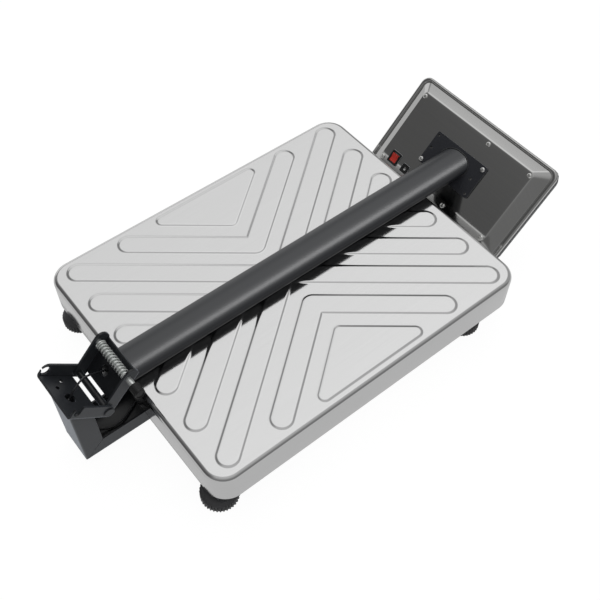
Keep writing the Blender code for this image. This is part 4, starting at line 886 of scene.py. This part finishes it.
def build_pan():
    """Pressed sheet: ribbed top, rolled edge, skirt with a hem, and the inner side of the sheet."""
    edge = pan_ring(PAN_EDGE, 0.0)
    plane = [Vector(p[:2]) for p in edge] + [Vector(p) for p in pan_points()]
    flat, _, triangles, origins, _, _ = delaunay_2d_cdt(plane, [], [], 0, MERGE_DISTANCE)
    places = np.array([tuple(p) for p in flat])
    heights, normals = rib_relief(places)
    verts = [(x, y, z) for (x, y), z in zip(places, heights)]
    ring = [0] * len(edge)
    for i, sources in enumerate(origins):
        for source in sources:
            if source < len(edge):
                ring[source] = i
    faces = [tuple(face) for face in triangles]
    for inset, height in pan_section():
        first = len(verts)
        verts += pan_ring(inset, height)
        following = list(range(first, len(verts)))
        for i in range(len(ring)):
            faces.append((ring[i - 1], ring[i], following[i], following[i - 1]))
        ring = following
    faces.append(tuple(ring))
    mesh = bpy.data.meshes.new("pressed_pan")
    mesh.from_pydata(verts, [], faces)
    bm = bmesh.new()
    bm.from_mesh(mesh)
    bmesh.ops.recalc_face_normals(bm, faces=bm.faces)
    bm.to_mesh(mesh)
    bm.free()
    mesh.shade_smooth()
    # The ribs' own normals for the top, and a flat inner side
    shading = np.array([tuple(n.vector) for n in mesh.vertex_normals])
    shading[:len(normals)] = normals
    shading[-len(ring):] = (0.0, 0.0, -1.0)
    mesh.normals_split_custom_set_from_vertices([tuple(n) for n in shading])
    add_piece("pressed_pan", mesh, "base", "pan_steel", "platform_pan",
              place=Matrix.Translation(PAN_CENTRE))


# Column

def tube_section(grow):
    """Y and Z of the tube's outline, with low shoulders that run far into its broad faces."""
    low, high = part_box("column_tube")
    half_y = (high.y - low.y) / 2 + grow
    half_z = (high.z - low.z) / 2 + grow
    shoulder = TUBE_SHOULDER + grow
    corner = TUBE_CORNER + grow
    flat_z = half_z - TUBE_CROWN
    outline = []
    for i, (sy, sz) in enumerate(((1, 1), (-1, 1), (-1, -1), (1, -1))):
        start = math.pi / 2 * i
        quarter = arc((0.0, 0.0), 1.0, start, start + math.pi / 2, TUBE_CORNER_STEPS)
        for turn_y, turn_z in quarter:
            y = sy * (half_y - shoulder) + shoulder * turn_y
            z = sz * (flat_z - corner) + corner * turn_z
            bulge = TUBE_CROWN * (1 - (y / half_y) ** 2)
            outline.append((y, z + math.copysign(bulge, z)))
    return outline


def build_column():
    """Tube with both ends cut to the planes of the leaf and the plate."""
    low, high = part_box("column_tube")
    centre = (low + high) / 2
    half_z = (high.z - low.z) / 2
    slope = math.tan(LEAF_ANGLE)
    start = low.x + half_z / slope
    end = high.x - half_z / slope
    section = (
        (start, -TUBE_WALL), (start, -TUBE_CHAMFER), (start + TUBE_CHAMFER, 0.0),
        (end - TUBE_CHAMFER, 0.0), (end, -TUBE_CHAMFER), (end, -TUBE_WALL),
    )
    rings = []
    for x, grow in section:
        ring = [(x + z / slope, centre.y + y, centre.z + z) for y, z in tube_section(grow)]
        rings.append(ring)
    mesh = skin("column_tube_look", rings, closed=True)
    piece = add_piece("column_tube_look", mesh, "column", "grey_paint", "column_tube")
    keep_flats(piece, TUBE_FLATS)
    return piece


# Head

def head_ring(share, height, grow=0.0):
    """Ring between the flat back's edge, share 0, and the rim, share 1."""
    half_x = FLAT_HALF[0] + (RIM_HALF[0] - FLAT_HALF[0]) * share + grow
    half_y = FLAT_HALF[1] + (RIM_HALF[1] - FLAT_HALF[1]) * share + grow
    corner = FLAT_CORNER + (RIM_CORNER - FLAT_CORNER) * share + grow
    return [(x + RIM_SHIFT * share, y, height) for x, y in rounded(half_x, half_y, corner)]


def build_back():
    """Pressed back of the head and the inner side of its sheet."""
    rings = [head_ring(BACK_MIDDLE, 0.0)]
    rings += [head_ring(share, height * MM) for share, height in BACK_SECTION]
    for share, height in reversed(BACK_SECTION[:BACK_INNER_POINTS]):
        rings.append(head_ring(share, height * MM - BACK_SHEET, -BACK_INNER_INSET))
    mesh = skin("head_back_look", rings)
    piece = add_piece("head_back_look", mesh, "column", "back_steel", "head_back_shell",
                      place=HEAD)
    keep_flats(piece, BACK_FLATS)


def add_screws():
    """Pan-head screws with a cross recess on the head's back and on the mounting plate."""
    profile = [(radius * SCREW_RADIUS, height * SCREW_HEIGHT) for radius, height in SCREW_DOME]
    for i, place in enumerate(SCREW_PLACES + PLATE_SCREWS):
        spin = Matrix.Rotation(SCREW_TURN * i, 4, "Z")
        screw = carve(turned(f"back_screw_{i}", profile, SCREW_STEPS), [
            block((-x, -y, RECESS_FLOOR), (x, y, RECESS_TOP))
            for x, y in (RECESS_HALVES, reversed(RECESS_HALVES))
        ])
        add_piece(f"back_screw_{i}", screw, "column", "nickel",
                  place=HEAD @ Matrix.Translation(place) @ spin)


def add_edge_highlights():
    """Thin light grey frames round the switch and the socket: painted highlights of the bezels'
    glossy edges.
    """
    for name, (x, y), (half_x, half_y) in (
        ("switch", SWITCH_AT, SWITCH_HALF),
        ("socket", SOCKET_AT, SOCKET_HALF),
    ):
        rings = []
        for grow, height in HIGHLIGHT_FRAME_SECTION:
            outline = rounded(half_x + grow * MM, half_y + grow * MM, (HIGHLIGHT_FRAME_CORNER + grow) * MM,
                              HIGHLIGHT_FRAME_STEPS)
            rings.append([(x + px, y + py, height * MM) for px, py in outline])
        mesh = skin(name + "_trim", rings, closed=True)
        add_piece(name + "_trim", mesh, "column", "grey_trim", place=HEAD)


def add_keys():
    """Blank keys on the keypad film, in even rows."""
    pitch_x = 2 * KEYPAD_HALF[0] / KEY_ROWS
    pitch_y = 2 * KEYPAD_HALF[1] / KEY_COLUMNS
    for row in range(KEY_ROWS):
        for column in range(KEY_COLUMNS):
            x = KEYPAD_AT - KEYPAD_HALF[0] + pitch_x * (row + 0.5)
            y = -KEYPAD_HALF[1] + pitch_y * (column + 0.5)
            rings = []
            for shrink, height in KEY_SECTION:
                margin = (KEY_MARGIN + shrink) * MM
                outline = rounded(pitch_x / 2 - margin, pitch_y / 2 - margin, KEY_CORNER,
                                  KEY_STEPS)
                rings.append([(x + px, y + py, KEY_FACE + height * MM) for px, py in outline])
            name = f"key_{row + 1}_{column + 1}"
            add_piece(name, skin(name, rings), "column", "key_ink", place=HEAD)


# Hinge, lock and cable

def build_turned(name, profile, body, finish, node, place):
    """Round piece across the scale, from (radius, place along Y) points."""
    mesh = turned(name, profile, ROUND_STEPS)
    nodes = [node] if node else []
    piece = add_piece(name, mesh, body, finish, *nodes,
                      place=Matrix.Translation(place) @ ACROSS)
    soften(piece, TURNED_EDGE_WIDTH, 3)


def band(bore, outer, start, end):
    """Profile of a ring between two places along its axis."""
    return [(bore, start), (outer, start), (outer, end), (bore, end), (bore, start)]


def build_knob():
    """Grooved grip, and the ring let into its end."""
    end = -KNOB_START - KNOB_LENGTH
    grip = [(KNOB_RADIUS - KNOB_CHAMFER, -KNOB_START), (KNOB_RADIUS, -KNOB_START - KNOB_CHAMFER)]
    for i in range(KNOB_GROOVES):
        place = -KNOB_START - (GROOVE_START + GROOVE_PITCH * i) * MM
        grip += [(KNOB_RADIUS, place), (KNOB_RADIUS - GROOVE_DEPTH, place - GROOVE_HALF),
                 (KNOB_RADIUS, place - 2 * GROOVE_HALF)]
    grip += [(KNOB_RADIUS - inset * MM, end + short * MM) for inset, short in KNOB_END]
    build_turned("lock_knob_look", grip, "lock", "black_plastic", "lock_knob", LOCK)
    ring = [(KNOB_RADIUS - inset * MM, end + short * MM) for inset, short in KNOB_RING]
    build_turned("knob_end_ring", ring, "lock", "black_plastic", None, LOCK)


def build_lock():
    """Rod with a chamfered tip, its knob and washer, and the spring between leaf and washer."""
    rod = [(ROD_RADIUS - ROD_CHAMFER, ROD_TIP), (ROD_RADIUS, ROD_TIP - ROD_CHAMFER),
           (ROD_RADIUS, -KNOB_START - ROD_IN_KNOB)]
    build_turned("lock_rod_look", rod, "lock", "zinc", "lock_rod", LOCK)
    build_knob()
    washer = band(ROD_RADIUS + BORE_ROOM, WASHER_RADIUS, WASHER_FACE,
                  WASHER_FACE - WASHER_THICKNESS)
    build_turned("spring_washer_look", washer, "lock", "zinc", "spring_washer", LOCK)
    coil = []
    for i in range(SPRING_TURNS * SPRING_STEPS + 1):
        turn = i / SPRING_STEPS
        angle = math.tau * turn
        share = max(turn - SPRING_END_TURN, 0.0) / (SPRING_TURNS - 2 * SPRING_END_TURN)
        y = SPRING_FROM + (SPRING_TO - SPRING_FROM) * min(share, 1.0)
        coil.append((SPRING_RADIUS * math.cos(angle), y, SPRING_RADIUS * math.sin(angle)))
    mesh = tube("lock_spring_look", coil, SPRING_WIRE, SPRING_SIDES)
    spring = add_piece("lock_spring_look", mesh, None, "zinc", "lock_spring",
                       place=Matrix.Translation(LOCK))
    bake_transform(spring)


def build_pivot():
    """Pin with a chamfered head, and the sleeve on it."""
    head = PIN_HEAD_FACE
    shrink, chamfer = PIN_HEAD_CHAMFER
    pin = [(PIN_RADIUS, head + PIN_END), (PIN_RADIUS, -head), (PIN_HEAD_RADIUS, -head),
           (PIN_HEAD_RADIUS, -head - PIN_HEAD_HEIGHT + chamfer),
           (PIN_HEAD_RADIUS - shrink, -head - PIN_HEAD_HEIGHT)]
    build_turned("pivot_pin_look", pin, "base", "black_paint", "pivot_pin", PIVOT)
    sleeve = band(PIN_RADIUS + BORE_ROOM, SLEEVE_RADIUS, SLEEVE_HALF, -SLEEVE_HALF)
    build_turned("pivot_sleeve_look", sleeve, "base", "black_paint", "pivot_sleeve", PIVOT)


def smooth_route(points, step):
    """Points about step apart on a curve through the given ones but the first and the last."""
    places = [PIVOT + Vector(p) * MM for p in points]
    route = []
    for a, b, c, d in zip(places, places[1:], places[2:], places[3:]):
        count = max(2, round((c - b).length / step))
        for i in range(count):
            t = i / count
            route.append(0.5 * (2 * b + (c - a) * t + (2 * a - 5 * b + 4 * c - d) * t ** 2
                                + (3 * b - a - 3 * c + d) * t ** 3))
    route.append(places[-2])
    return route


def build_cable():
    """The sheath in three lengths that meet in the holes of the two leaves."""
    under = CABLE_ROUTE[:CABLE_LOWER_HOLE + 2]
    bend = CABLE_ROUTE[CABLE_LOWER_HOLE - 1:CABLE_UPPER_HOLE + 2]
    through = CABLE_ROUTE[CABLE_UPPER_HOLE - 1:]
    for name, points, body in (("under", under, "base"), ("through", through, "column")):
        route = smooth_route(points, CABLE_STEP)
        mesh = tube("signal_cable_" + name, route, CABLE_RADIUS, CABLE_SIDES)
        add_piece("signal_cable_" + name, mesh, body, "cable_grey", "signal_cable")
    route = smooth_route(bend, CABLE_BEND_STEP)
    mesh = tube("signal_cable_over", route, CABLE_RADIUS, CABLE_SIDES)
    over = add_piece("signal_cable_over", mesh, None, "cable_grey", "signal_cable")
    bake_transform(over)


# Feet

def build_foot(side):
    """Rubber foot: knurled ring below a smooth shoulder."""
    low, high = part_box("foot_pad_" + side)
    centre = (low + high) / 2
    count = FOOT_TEETH * TOOTH_POINTS
    rings = []
    for radius, tooth, height in FOOT_SECTION:
        ring = []
        for i in range(count):
            between = i % TOOTH_POINTS < TOOTH_POINTS / 2
            reach = (radius - (tooth if between else 0.0)) * MM
            angle = math.tau * i / count
            x = centre.x + reach * math.cos(angle)
            y = centre.y + reach * math.sin(angle)
            ring.append((x, y, low.z + height * MM))
        rings.append(ring)
    mesh = skin(f"foot_{side}_look", rings)
    mesh.set_sharp_from_angle(angle=FOOT_SHARP_ANGLE)
    add_piece(f"foot_{side}_look", mesh, "foot_" + side, "rubber", "foot_pad_" + side)


# Welds

def bead(name, points, body, radius):
    path = [Vector(p) for p in points]
    route = []
    for start, end in zip(path, path[1:]):
        count = max(2, round((end - start).length / WELD_STEP))
        route += [start + (end - start) * i / count for i in range(count)]
    route.append(path[-1])
    add_piece(name, tube(name, route, radius, WELD_SIDES, ripple=WELD_RIPPLE), body, "weld")


def add_welds():
    """Beads where the tube meets the leaf and the plate, and where the rails meet the arm."""
    low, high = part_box("column_tube")
    half_z = (high.z - low.z) / 2
    centre = (low + high) / 2
    for name, x, way in (("hinge", low.x + half_z, -1), ("head", high.x - half_z, 1)):
        side = []
        for y, z in tube_section(COLUMN_WELD_RISE):
            side.append((x + z + way * COLUMN_WELD_OUT, centre.y + y, centre.z + z))
        bead("weld_column_" + name, side + side[:1], "column", COLUMN_WELD_RADIUS)
    arm_low, arm_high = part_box("base_arm")
    for rail in ("left_near", "left_far", "right_near", "right_far"):
        rail_low, rail_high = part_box("base_rail_" + rail)
        y = arm_low.y if "near" in rail else arm_high.y
        start, end = rail_span("base_rail_" + rail)
        corners = [(start, y, rail_low.z), (start, y, rail_high.z),
                   (end, y, rail_high.z), (end, y, rail_low.z)]
        bead("weld_rail_" + rail, corners, "base", WELD_RADIUS)


add_camera()
add_sky()
add_floor()
bpy.context.scene.view_settings.view_transform = "Standard"
RIBS = rib_lines()
build_pan()
add_strip_lamp(build_column())
build_back()
add_screws()
add_edge_highlights()
add_keys()
build_lock()
build_pivot()
build_cable()
for foot in ("left_near", "left_far", "right_near", "right_far"):
    build_foot(foot)
add_welds()
# Every CAD node that nothing has replaced yet
for name, source in frame["nodes"].items():
    if source.hide_render:
        continue
    finish = next(p["material_slot"] for p in frame["record"]["subparts"] if p["node"] == name)
    take_over(name, FINISH_OF.get(name, finish), WIDTHS.get(name, EDGE_WIDTH))
